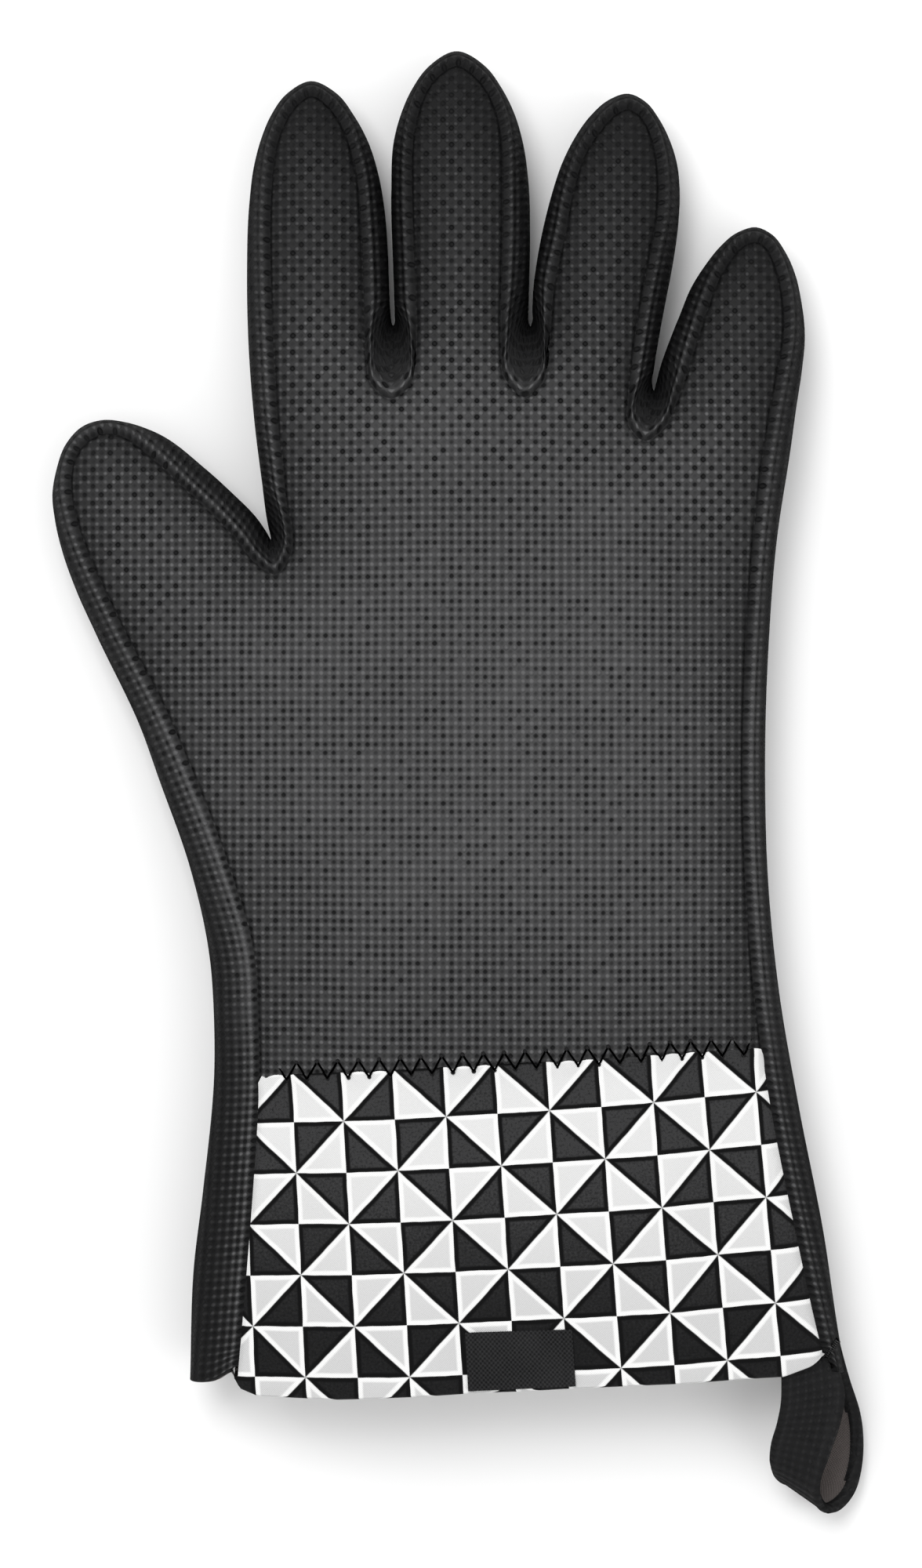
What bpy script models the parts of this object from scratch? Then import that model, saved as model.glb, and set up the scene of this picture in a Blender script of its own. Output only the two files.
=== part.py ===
"""Heat resistant glove: five-finger oven glove lying palm up, silicone-coated shell, boxing strips, cotton lining,
printed cotton cuff, woven label and hanging loop.

Frame: metres, +Z up.  The glove lies on its back on z = 0, +Y runs from the cuff mouth to the fingertips, +X towards the
little finger, +Z out of the palm face.  The origin is the centre of the flat resting face under the palm.  The outline
table below counts y from the cuff mouth; ORIGIN moves the finished pieces.

Every shell piece lies on one closed pillow surface over the outline.  The half height of the pillow depends on the
distance to the outline: it rises like an ellipse over the first 17 mm and then gently to the middle of the palm.
"""
import math

import bmesh
import bpy
import numpy as np
from mathutils import Vector
from mathutils.geometry import delaunay_2d_cdt

for _ob in list(bpy.data.objects):
    bpy.data.objects.remove(_ob, do_unlink=True)
for _me in list(bpy.data.meshes):
    bpy.data.meshes.remove(_me)
for _ma in list(bpy.data.materials):
    bpy.data.materials.remove(_ma)

MM = 0.001
ORIGIN = np.array([0.0, 150.0, 0.0])  # where the part's origin lies in the table's coordinates, mm

# ---- driving dimensions, mm ------------------------------------------------------------------------------------------
EDGE_RADIUS = 17.0  # width over which the pillow rises from its edge
EDGE_RISE = 12.0  # half height reached at that width (fingers)
PALM_RISE = 5.0  # extra half height of the palm and the cuff
PALM_WIDTH = 28.0  # width over which the extra height builds up
MID_FINGER = 11.5  # height of the mid surface in the fingers
MID_PALM = 15.8  # height of the mid surface in the palm and cuff
SHELL = 2.0  # silicone-coated sheet
LINING_OUT = 3.7  # lining, outer face below the shell surface
LINING_IN = 5.1  # lining, inner face
FABRIC_OUT = 0.3  # cuff fabric
FABRIC_IN = 1.6
LABEL_OUT = -0.6
LABEL_IN = -0.1
SEAM_GAP = 0.3  # gap between a panel and the strip sewn to it
JOINT_GAP = 0.2  # half gap between two bodies at a joint
PANEL_RING = 4.5  # distance of the first row of panel points from its edge
LOOP_WIDTH = 14.0
LOOP_SHEET = 2.0

# ---- pattern outline -------------------------------------------------------------------------------------------------
# Stations round the glove from the thumb side of the cuff to the little-finger side: x, y of the outline and x, y of the
# seam between the face panel and the strip at that station, mm.
SIDE_THUMB = [
    (-82.2, 4.0, -70.4, 4.0), (-81.2, 33.0, -68.0, 33.0), (-79.0, 51.0, -66.6, 51.0), (-76.0, 85.0, -65.0, 85.0),
    (-76.2, 97.0, -65.4, 97.0), (-77.0, 109.0, -66.0, 109.4), (-82.0, 133.0, -73.0, 134.6),
    (-90.6, 157.0, -83.0, 160.2), (-95.0, 169.0, -88.2, 172.2), (-106.4, 193.0, -100.2, 195.4),
]
THUMB = [
    (-111.8, 205.0, -105.8, 207.2), (-115.0, 214.0, -109.4, 215.6), (-117.0, 222.6, -112.0, 224.0),
    (-117.6, 229.0, -113.0, 230.0), (-116.6, 235.0, -112.8, 235.0), (-114.2, 241.6, -111.0, 240.0),
    (-110.2, 246.0, -108.0, 243.0), (-105.0, 247.8, -104.0, 244.6), (-98.6, 247.2, -99.0, 243.6),
    (-92.0, 245.0, -94.4, 240.4), (-78.2, 235.0, -82.6, 229.6), (-71.6, 229.0, -76.2, 223.6),
    (-65.8, 223.2, -70.4, 217.4), (-62.8, 219.0, -65.4, 212.6),
]
CROTCH_THUMB_INDEX = [(-61.6, 217.0, -61.0, 208.6)]
INDEX = [
    (-62.4, 220.6, -58.2, 214.0), (-64.0, 232.0, -58.6, 230.0), (-66.0, 248.0, -60.4, 248.0),
    (-67.6, 268.0, -61.6, 268.0), (-68.0, 286.0, -62.2, 286.0), (-67.4, 303.0, -62.2, 302.6),
    (-66.2, 312.6, -61.6, 311.4), (-64.4, 319.4, -60.8, 317.4), (-62.0, 325.2, -59.0, 322.6),
    (-58.0, 330.8, -56.0, 327.6), (-51.6, 334.2, -51.4, 330.6), (-45.0, 331.0, -46.8, 327.6),
    (-40.4, 325.0, -43.4, 322.6), (-37.0, 318.6, -41.2, 316.6), (-34.4, 310.2, -39.6, 309.4),
    (-32.8, 300.6, -38.8, 300.2), (-32.0, 289.0, -38.2, 289.0), (-31.6, 278.0, -37.8, 276.6),
    (-31.3, 274.2, -37.2, 266.2), (-31.1, 272.6, -35.4, 258.6),
]
CROTCH_INDEX_MIDDLE = [(-30.7, 271.8, -31.2, 253.4)]
MIDDLE = [
    (-30.3, 272.6, -27.0, 258.6), (-30.3, 274.6, -25.2, 267.0), (-30.4, 278.0, -25.2, 277.4),
    (-30.8, 289.0, -25.6, 289.0), (-31.2, 306.0, -26.2, 306.0), (-30.4, 319.8, -26.0, 318.2),
    (-28.8, 325.6, -25.2, 323.6), (-26.0, 332.0, -23.4, 329.6), (-21.8, 337.8, -20.4, 334.6),
    (-14.4, 341.8, -14.4, 338.2), (-7.0, 337.8, -8.8, 334.6), (-3.0, 332.4, -5.6, 330.0), (0.2, 326.0, -3.6, 324.2),
    (2.4, 318.6, -2.6, 317.4), (3.8, 308.6, -2.4, 308.2), (4.2, 295.0, -2.4, 295.0), (4.0, 283.0, -2.8, 281.4),
    (3.8, 276.0, -2.8, 271.0), (3.8, 273.0, -1.2, 261.4),
]
CROTCH_MIDDLE_RING = [(4.3, 271.6, 2.8, 253.8)]
RING = [
    (4.8, 273.0, 6.8, 260.2), (4.8, 276.0, 8.4, 269.4), (5.2, 283.0, 10.0, 281.4), (7.6, 297.0, 13.0, 296.0),
    (9.8, 305.6, 14.4, 304.0), (12.4, 313.4, 16.2, 311.0), (15.6, 319.8, 18.4, 316.6), (19.8, 325.6, 22.0, 321.8),
    (24.2, 329.4, 25.2, 325.4), (29.2, 331.0, 28.8, 327.2), (33.8, 328.8, 32.2, 325.6), (37.2, 324.4, 34.6, 322.0),
    (40.2, 318.2, 36.2, 316.6), (41.8, 312.6, 37.0, 311.4), (42.4, 306.0, 37.2, 305.6), (42.0, 297.4, 36.6, 298.0),
    (40.6, 287.4, 34.8, 288.4), (38.6, 277.0, 32.8, 277.8), (36.8, 267.4, 31.2, 267.8), (35.6, 260.0, 30.0, 257.4),
    (35.2, 256.8, 30.4, 248.6),
]
CROTCH_RING_LITTLE = [(35.6, 255.0, 33.4, 242.6)]
LITTLE = [
    (36.2, 256.8, 38.4, 247.0), (37.4, 261.4, 42.2, 255.0), (39.6, 267.6, 45.4, 264.6), (42.4, 274.6, 48.0, 272.8),
    (45.4, 281.8, 50.4, 279.8), (48.8, 287.2, 52.6, 284.8), (52.8, 292.2, 55.2, 289.0), (57.0, 295.6, 58.4, 292.4),
    (61.6, 297.0, 61.4, 293.4), (66.0, 295.0, 64.4, 292.0), (69.2, 290.8, 66.4, 288.4), (71.8, 285.0, 68.0, 283.4),
    (73.4, 277.8, 69.0, 277.0), (74.2, 269.0, 69.0, 268.6), (73.4, 260.6, 67.8, 261.0), (71.8, 250.6, 66.0, 251.6),
]
SIDE_LITTLE = [
    (70.2, 239.4, 64.2, 240.4), (66.8, 217.0, 61.4, 217.4), (64.8, 192.0, 59.6, 192.0), (63.8, 159.0, 58.6, 159.0),
    (64.8, 127.0, 59.6, 127.0), (67.4, 102.0, 61.6, 101.8), (72.2, 74.0, 65.6, 73.8), (79.0, 39.0, 72.6, 38.6),
    (81.6, 21.0, 76.6, 20.2), (84.0, 6.0, 80.2, 5.4),
]
HEM = [(-65.0, 0.2), (-45.0, -1.8), (12.0, 0.4), (69.0, 3.0)]  # cuff mouth edge between the two seams

# ---- joints ----------------------------------------------------------------------------------------------------------
# point on the joint line (x, y), direction the moving side points in, half length of the line to each side of the point,
# height of the hinge axis, limit in degrees
JOINTS = {
    "wrist_bend": ((0.0, 83.5), (0.0546, -0.9985), (200.0, 200.0), 24.0, 35.0),
    "thumb_base_bend": ((-62.6, 218.6), (-0.963, 0.2696), (86.0, 1.0), 20.0, 50.0),
    "thumb_tip_bend": ((-92.0, 218.0), (-0.478, 0.878), (40.0, 40.0), 15.5, 60.0),
    "index_base_bend": ((-49.5, 274.0), (0.0, 1.0), (22.0, 18.8), 15.5, 65.0),
    "index_tip_bend": ((-49.5, 303.0), (0.0, 1.0), (22.0, 18.6), 15.5, 75.0),
    "middle_base_bend": ((-13.3, 274.0), (0.0, 1.0), (17.4, 17.4), 15.5, 65.0),
    "middle_tip_bend": ((-13.5, 306.0), (0.0, 1.0), (17.8, 17.8), 15.5, 75.0),
    "ring_base_bend": ((20.5, 272.3), (0.0698, 0.9976), (16.2, 20.0), 15.5, 65.0),
    "ring_tip_bend": ((25.0, 300.6), (0.0698, 0.9976), (20.0, 20.0), 15.5, 75.0),
    "little_base_bend": ((54.5, 256.7), (0.1045, 0.9945), (18.6, 24.0), 15.5, 60.0),
    "little_tip_bend": ((58.6, 276.6), (0.1045, 0.9945), (22.0, 22.0), 15.5, 60.0),
}
LOOP_HINGE = (81.0, -1.0, 23.0)
NOTCH_FADE = 13.0  # length over which a notch at a joint fades out


# ---- outline curve ---------------------------------------------------------------------------------------------------
GROUPS = [SIDE_THUMB, THUMB, CROTCH_THUMB_INDEX, INDEX, CROTCH_INDEX_MIDDLE, MIDDLE, CROTCH_MIDDLE_RING, RING,
          CROTCH_RING_LITTLE, LITTLE, SIDE_LITTLE]
ROWS = np.array([row for group in GROUPS for row in group], float)
STARTS = np.cumsum([0] + [len(group) for group in GROUPS])
_d = np.diff(ROWS, axis=0)
KNOTS = np.concatenate([[0.0], np.cumsum(0.5 * (np.hypot(_d[:, 0], _d[:, 1]) + np.hypot(_d[:, 2], _d[:, 3])))])


def tangents():
    """Three-point slopes at each station, for uneven spacing."""
    gap = np.diff(KNOTS)[:, None]
    slope = np.diff(ROWS, axis=0) / gap
    inner = (slope[1:] * gap[:-1] + slope[:-1] * gap[1:]) / (gap[:-1] + gap[1:])
    return np.vstack([slope[:1], inner, slope[-1:]])


SLOPES = tangents()


def path(t):
    """Outline and seam point at curve position t."""
    t = np.clip(np.atleast_1d(np.asarray(t, float)), KNOTS[0], KNOTS[-1])
    i = np.clip(np.searchsorted(KNOTS, t, "right") - 1, 0, len(KNOTS) - 2)
    gap = (KNOTS[i + 1] - KNOTS[i])[:, None]
    u = (t - KNOTS[i])[:, None] / gap
    a, b = ROWS[i], ROWS[i + 1]
    ma, mb = SLOPES[i] * gap, SLOPES[i + 1] * gap
    return (
        (2 * u**3 - 3 * u**2 + 1) * a + (u**3 - 2 * u**2 + u) * ma + (3 * u**2 - 2 * u**3) * b + (u**3 - u**2) * mb
    )


DENSE_T = np.linspace(KNOTS[0], KNOTS[-1], 1400)
DENSE = path(DENSE_T)
BORDER = np.vstack([[DENSE[0, 0] - 2.0, -80.0], DENSE[:, :2], [DENSE[-1, 0] + 9.0, -80.0]])


def distance(xy):
    """Distance from points to the outline, which is open at the cuff mouth."""
    xy = np.atleast_2d(xy)
    a, b = BORDER[:-1], BORDER[1:]
    ab = b - a
    length = (ab**2).sum(1)
    out = np.empty(len(xy))
    for start in range(0, len(xy), 200):
        p = xy[start : start + 200, None, :]
        u = np.clip(((p - a) * ab).sum(2) / length, 0, 1)
        out[start : start + 200] = np.sqrt(((p - a - u[..., None] * ab) ** 2).sum(2).min(1))
    return out


def smooth(x):
    x = np.clip(x, 0.0, 1.0)
    return x * x * (3 - 2 * x)


def mid_height(xy):
    xy = np.atleast_2d(xy)
    x, y = xy[:, 0], xy[:, 1]
    fingers = 1 - smooth((y - 238.0) / 46.0)
    thumb = 1 - smooth((y - 130.0) / 40.0) * (1 - smooth((x + 98.0) / 36.0))
    return MID_FINGER + (MID_PALM - MID_FINGER) * fingers * thumb


def half_height(xy, inset):
    d = distance(xy)
    k = np.clip((d - inset) / (EDGE_RADIUS - inset), 0.0, 1.0)
    return (EDGE_RISE - inset) * np.sqrt(1 - (1 - k) ** 2) + PALM_RISE * smooth((d - EDGE_RADIUS) / PALM_WIDTH)


def surface(xy, side, inset):
    """Height of the pillow surface, front (side 1) or back (side -1), moved inwards by inset.  The back is flattened
    where it rests on the plane."""
    mid = mid_height(xy)
    h = half_height(xy, inset)
    if side > 0:
        return mid + h
    v = mid - h - inset
    e = 1.0
    return inset + np.where(v < -e, 0.0, np.where(v > e, v, (v + e) ** 2 / (4 * e)))


# ---- joints on the outline ---------------------------------------------------------------------------------------------
def joint(name):
    point, n, reach, z, limit = JOINTS[name]
    n = np.array(n) / np.hypot(*n)
    return np.array(point), n, reach, z, limit


def cross(kind, name, offset, near):
    """Curve position nearest to near where the outline (kind 0) or the seam (kind 2) crosses a joint line moved by
    offset along its direction."""
    point, n, _, _, _ = joint(name)
    g = (DENSE[:, kind : kind + 2] - point) @ n - offset
    hits = np.nonzero(g[:-1] * g[1:] <= 0)[0]
    t = DENSE_T[hits] + (DENSE_T[hits + 1] - DENSE_T[hits]) * g[hits] / (g[hits] - g[hits + 1] + 1e-12)
    return float(t[np.argmin(np.abs(t - near))])


def knot(group, row):
    return float(KNOTS[STARTS[group] + row])


NEAR = {  # rough curve position of each crossing: joint, left end and right end
    "wrist_bend": (knot(0, 3), knot(10, 6)),
    "thumb_base_bend": (knot(0, 6), knot(1, 13)),
    "thumb_tip_bend": (knot(1, 0), knot(1, 11)),
    "index_base_bend": (knot(3, 4), knot(3, 17)),
    "index_tip_bend": (knot(3, 5), knot(3, 15)),
    "middle_base_bend": (knot(5, 1), knot(5, 17)),
    "middle_tip_bend": (knot(5, 4), knot(5, 14)),
    "ring_base_bend": (knot(7, 1), knot(7, 17)),
    "ring_tip_bend": (knot(7, 3), knot(7, 15)),
    "little_base_bend": (knot(9, 1), knot(9, 15)),
    "little_tip_bend": (knot(9, 3), knot(9, 12)),
}


def ends(name, end, side):
    """Outline and seam crossings for the piece on the given side (1 moving, -1 fixed) of a joint."""
    near = NEAR[name][end]
    return cross(0, name, side * JOINT_GAP, near), cross(2, name, side * JOINT_GAP, near)


def notch(points, cuts):
    """Cuts the faces that meet at a joint back above the hinge axis, so the parts can bend without touching."""
    points = points.copy()
    for soft in (True, False):
        for name, side in cuts:
            p, n, reach, z, limit = joint(name)
            along = np.array([n[1], -n[0]])
            rel = points[:, :2] - p
            lateral = rel @ along
            s = side * (rel @ n)
            need = JOINT_GAP + np.maximum(0.0, points[:, 2] - z) * math.tan(math.radians(limit / 2))
            if soft:
                move = (need - JOINT_GAP) * np.clip(1 - (s - JOINT_GAP) / NOTCH_FADE, 0, 1)
            else:
                move = np.maximum(0.0, need - s)
            inside = (lateral > -reach[0]) & (lateral < reach[1]) & (s > -3.0) & (s < 40.0)
            points[inside, :2] += (side * move[inside])[:, None] * n
    return points


# ---- mesh helpers ------------------------------------------------------------------------------------------------------
def material(name, colour, roughness, metallic=0.0):
    mat = bpy.data.materials.new(name)
    mat.use_nodes = True
    shader = mat.node_tree.nodes["Principled BSDF"]
    shader.inputs["Base Color"].default_value = (*colour, 1.0)
    shader.inputs["Roughness"].default_value = roughness
    shader.inputs["Metallic"].default_value = metallic
    return mat


SILICONE = (0.075, 0.075, 0.078)
SILICONE_EDGE = (0.055, 0.055, 0.058)
COTTON = (0.24, 0.225, 0.215)
PRINT = (0.42, 0.42, 0.41)
LABEL = (0.03, 0.03, 0.03)


def add(name, points, faces, origin, colour, roughness):
    """One object whose origin is on its joint axis."""
    origin = np.array(origin, float)
    mesh = bpy.data.meshes.new(name)
    mesh.from_pydata([tuple((p - origin) * MM) for p in points], [], [tuple(f) for f in faces])
    bm = bmesh.new()
    bm.from_mesh(mesh)
    bmesh.ops.recalc_face_normals(bm, faces=bm.faces)
    if bm.calc_volume(signed=True) < 0:
        bmesh.ops.reverse_faces(bm, faces=bm.faces)
    for face in bm.faces:
        face.smooth = True
    bm.to_mesh(mesh)
    bm.free()
    mesh.materials.append(material(name, colour, roughness))
    obj = bpy.data.objects.new(name, mesh)
    obj.location = Vector(tuple((origin - ORIGIN) * MM))
    bpy.context.scene.collection.objects.link(obj)
    return obj


def pieces(ends0, ends1, step):
    return max(2, int(math.ceil(max(abs(ends1[0] - ends0[0]), abs(ends1[1] - ends0[1])) / step)))


def strip(ends0, ends1, step, deep=False, inset=SHELL):
    """Side strip between two pairs of outline and seam positions: a C profile from the front seam over the outline to
    the back seam, with its inner face moved in by the sheet thickness."""
    (a0, f0), (a1, f1) = ends0, ends1
    count = pieces(ends0, ends1, step)
    u = np.linspace(0, 1, count + 1)
    outer = path(a0 + (a1 - a0) * u)[:, :2]
    seam = path(f0 + (f1 - f0) * u)[:, 2:]
    reach = np.hypot(*(seam - outer).T)[:, None]
    to_seam = (seam - outer) / reach
    points = []
    levels = (1.0, 0.45, 0.12) if deep else (1.0, 0.3)
    for fraction, side in [(v, 1) for v in levels] + [(0.0, 0)] + [(v, -1) for v in levels[::-1]]:
        xy = outer + (seam - outer) * fraction
        z = mid_height(xy) if side == 0 else surface(xy, side, 0.0)
        points.append(np.column_stack([xy, z]))
    levels = (1.0, 0.45, 0.14) if deep else (1.0, 0.4)
    for fraction, side in [(v, -1) for v in levels] + [(0.0, 0)] + [(v, 1) for v in levels[::-1]]:
        xy = outer + to_seam * (inset + (reach - inset) * fraction)
        z = mid_height(xy)
        if side:
            z = z + side * np.maximum(np.abs(surface(xy, side, inset) - z), 0.8 + 2.0 * fraction)
        points.append(np.column_stack([xy, z]))
    ring = len(points)
    points = np.stack(points, 1).reshape(-1, 3)
    faces = []
    for k in range(count):
        for j in range(ring):
            j2 = (j + 1) % ring
            faces.append((k * ring + j, k * ring + j2, (k + 1) * ring + j2, (k + 1) * ring + j))
    for k in (0, count):
        for j in range(ring // 2 - 1):
            faces.append((k * ring + j, k * ring + j + 1, k * ring + ring - 2 - j, k * ring + ring - 1 - j))
    return points, faces


def run(t0, t1, kind, step, inward=0.0, count=None):
    """Points along the outline (kind 0) or the seam (kind 2) between two curve positions."""
    count = count or max(1, int(math.ceil(abs(t1 - t0) / step)))
    rows = path(np.linspace(t0, t1, count + 1))
    if kind == 2:
        to_edge = rows[:, :2] - rows[:, 2:]
        to_edge /= np.hypot(*to_edge.T)[:, None]
        return rows[:, 2:] - to_edge * inward
    t = np.linspace(t0, t1, count + 1)
    ahead = path(t + 0.4)[:, :2] - path(t - 0.4)[:, :2]
    ahead /= np.hypot(*ahead.T)[:, None]
    return rows[:, :2] + np.column_stack([ahead[:, 1], -ahead[:, 0]]) * inward


def split(a, b, step):
    count = max(1, int(round(np.hypot(*(np.array(b) - a)) / step)))
    u = np.linspace(0, 1, count + 1)[1:-1, None]
    return np.array(a) + (np.array(b) - a) * u


def triangulate(loop, spacing, clear, ring=None, sewn=None):
    """Triangles over the region inside a closed loop, with inner points on a staggered grid.  Where part of the edge is
    sewn, no triangle edge may cross the region from one sewn point to another."""
    loop = np.asarray(loop, float)
    low, high = loop.min(0), loop.max(0)
    grid = []
    for row, y in enumerate(np.arange(low[1] + spacing / 2, high[1], spacing * 0.87)):
        for x in np.arange(low[0] + spacing * (0.25 + 0.5 * (row % 2)), high[0], spacing):
            grid.append((x, y))
    a, b = loop, np.roll(loop, -1, 0)
    ab = b - a

    def room(q):
        """Distance of each point to the loop, negative outside it."""
        p = q[:, None, :]
        u = np.clip(((p - a) * ab).sum(2) / (ab**2).sum(1), 0, 1)
        gap = np.sqrt(((p - a - u[..., None] * ab) ** 2).sum(2).min(1))
        up = (a[:, 1] > q[:, None, 1]) != (b[:, 1] > q[:, None, 1])
        with np.errstate(divide="ignore", invalid="ignore"):
            at = a[:, 0] + (q[:, None, 1] - a[:, 1]) * ab[:, 0] / ab[:, 1]
        inside = ((up & (q[:, None, 0] < at)).sum(1) % 2) == 1
        return np.where(inside, gap, -gap)

    grid = np.array(grid)
    inner = grid[room(grid) > clear]
    if ring is not None and len(ring):
        ring = ring[room(ring) > 2.5]
    if ring is not None and len(ring):
        if len(inner):
            far = np.sqrt(((inner[:, None] - ring[None]) ** 2).sum(2).min(1)) > clear
            inner = inner[far]
        kept = []
        for q in ring:
            if all((q[0] - r[0]) ** 2 + (q[1] - r[1]) ** 2 > 3.0**2 for r in kept):
                kept.append(q)
        inner = np.vstack([np.array(kept), inner])
    for _ in range(6):
        everything = np.vstack([loop, inner]) if len(inner) else loop
        found = delaunay_2d_cdt([Vector(q) for q in everything], [], [list(range(len(loop)))], 1, 1e-5)
        points = np.array([tuple(v) for v in found[0]])
        source = [ids[0] if ids else -1 for ids in found[3]]
        tris = [tuple(f) for f in found[2]]
        if sewn is None:
            break
        extra = set()
        for t in tris:
            for a, b in ((t[0], t[1]), (t[1], t[2]), (t[2], t[0])):
                ka, kb = source[a], source[b]
                if 0 <= ka < len(loop) and 0 <= kb < len(loop) and sewn[ka] and sewn[kb]:
                    if (ka - kb) % len(loop) not in (1, len(loop) - 1):
                        extra.add((min(ka, kb), max(ka, kb)))
        if not extra:
            break
        middle = np.array([(loop[a] + loop[b]) / 2 for a, b in sorted(extra)])
        inner = np.vstack([inner, middle]) if len(inner) else middle
    return points, tris, source


def sheet(loop, side, out, inn, cuts, spacing=11.0):
    """A face panel: the front or back of the pillow over a region, between two insets."""
    ahead = np.roll(loop, -1, 0) - np.roll(loop, 1, 0)
    ahead /= np.hypot(*ahead.T)[:, None]
    ring = loop + np.column_stack([ahead[:, 1], -ahead[:, 0]]) * PANEL_RING
    xy, tris, source = triangulate(loop, spacing, spacing * 0.45, ring)
    count = len(xy)
    index = {s: i for i, s in enumerate(source) if s >= 0}
    top = np.column_stack([xy, surface(xy, side, out)])
    low = np.column_stack([xy, surface(xy, side, inn)])
    points = notch(np.vstack([top, low]), cuts)
    faces = [t for t in tris] + [tuple(count + i for i in reversed(t)) for t in tris]
    n = len(loop)
    for k in range(n):
        a, b = index[k], index[(k + 1) % n]
        faces.append((a, b, count + b, count + a))
    return points, faces


def bag(loop, sewn, inward, cuts, spacing=12.0):
    """A lining: front and back sheet of one region, joined along the sewn part of its edge and open along the rest."""
    ring = np.array([loop[k] + 3.0 * inward[k] for k in range(len(loop)) if sewn[k] and sewn[k - 1] and
                     sewn[(k + 1) % len(loop)]])
    xy, tris, source = triangulate(loop, spacing, spacing * 0.45, ring, sewn)
    count = len(xy)
    index = {s: i for i, s in enumerate(source) if s >= 0}
    edge = {index[k]: k for k in range(len(loop))}
    inner_xy = xy.copy()
    for i, k in edge.items():
        inner_xy[i] = xy[i] + inward[k]
    closed = np.array([edge.get(i) is not None and sewn[edge[i]] for i in range(count)])
    layers = []
    for base, inset in ((xy, LINING_OUT), (inner_xy, LINING_IN)):
        mid = mid_height(base)
        for side in (1, -1):
            z = surface(base, side, inset)
            z[closed] = mid[closed]
            layers.append(np.column_stack([base, z]))
    points = notch(np.vstack(layers), cuts)
    where = np.arange(4 * count).reshape(4, count)
    where[1, closed] = where[0, closed]
    where[3, closed] = where[2, closed]
    faces = []
    for t in tris:
        faces.append(tuple(where[0, i] for i in t))
        faces.append(tuple(where[1, i] for i in reversed(t)))
        faces.append(tuple(where[2, i] for i in reversed(t)))
        faces.append(tuple(where[3, i] for i in t))
    n = len(loop)
    for k in range(n):
        a, b = index[k], index[(k + 1) % n]
        if sewn[k] and sewn[(k + 1) % n]:
            continue
        faces.append((where[0, a], where[0, b], where[2, b], where[2, a]))
        faces.append((where[1, a], where[1, b], where[3, b], where[3, a]))
    used = sorted({i for f in faces for i in f})
    remap = {old: new for new, old in enumerate(used)}
    return points[used], [tuple(remap[i] for i in f) for f in faces]


# ---- building blocks ---------------------------------------------------------------------------------------------------
STRIP_STEP = 6.0
WEB_STEP = 1.4
SIDE_STEP = 9.0


def origin_of(name):
    p, _, _, z, _ = joint(name)
    return (p[0], p[1], z)


def lining_loop(parts, step):
    """Loop for a lining from alternating outline runs (t0, t1) and straight mouths between them."""
    loop, sewn, inward = [], [], []
    steps = [WEB_STEP if len(parts) > 3 and 1 < k < 5 else 2.0 * WEB_STEP if len(parts) > 3 and k == 1 else step
             for k in range(len(parts))]
    runs = [run(t0, t1, 0, s, LINING_OUT) for (t0, t1), s in zip(parts, steps)]
    shift = LINING_IN - LINING_OUT
    normals = []
    for (t0, t1), pts, s in zip(parts, runs, steps):
        inner = run(t0, t1, 0, s, LINING_IN)
        normals.append(inner - pts)
    for k, pts in enumerate(runs):
        nxt = runs[(k + 1) % len(runs)][0]
        prv = runs[k - 1][-1]
        move = normals[k].copy()
        for end, other in ((-1, nxt), (0, prv)):
            along = other - pts[end]
            move[end] = along / np.hypot(*along) * shift
        loop.extend(pts)
        sewn.extend([True] * len(pts))
        inward.extend(move)
        gap = nxt - pts[-1]
        length = np.hypot(*gap)
        if length > 4.0:
            n = max(4, int(round(length / 9.0)))
            # closer together near the corners, so the mouth stays round
            u = 0.5 - 0.5 * np.cos(np.pi * np.linspace(0, 1, n + 1)[1:-1])
            loop.extend(pts[-1] + gap * u[:, None])
            sewn.extend([False] * (n - 1))
            inward.extend(gap / length * shift * (1 - 2 * u[:, None]))
    return np.array(loop), sewn, np.array(inward)


def panel_pair(prefix, loop, cuts, origin, out=0.0, inn=SHELL, names=("front", "back"), colour=SILICONE, spacing=11.0):
    for side, label in ((1, names[0]), (-1, names[1])):
        points, faces = sheet(loop, side, out, inn, cuts, spacing)
        add(f"{prefix}{label}", points, faces, origin, colour, 0.6 if colour is SILICONE else 0.85)


def side_piece(name, ends0, ends1, cuts, origin, step=STRIP_STEP):
    points, faces = strip(ends0, ends1, step, name.startswith("web"))
    add(name, notch(points, cuts), faces, origin, SILICONE_EDGE, 0.55)


def seam_run(ends0, ends1, step=STRIP_STEP):
    return run(ends0[1], ends1[1], 2, step, SEAM_GAP, pieces(ends0, ends1, step))


def close_loop(runs, step):
    loop = []
    for k, pts in enumerate(runs):
        loop.extend(pts)
        loop.extend(split(pts[-1], runs[(k + 1) % len(runs)][0], step))
    return np.array(loop)


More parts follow.
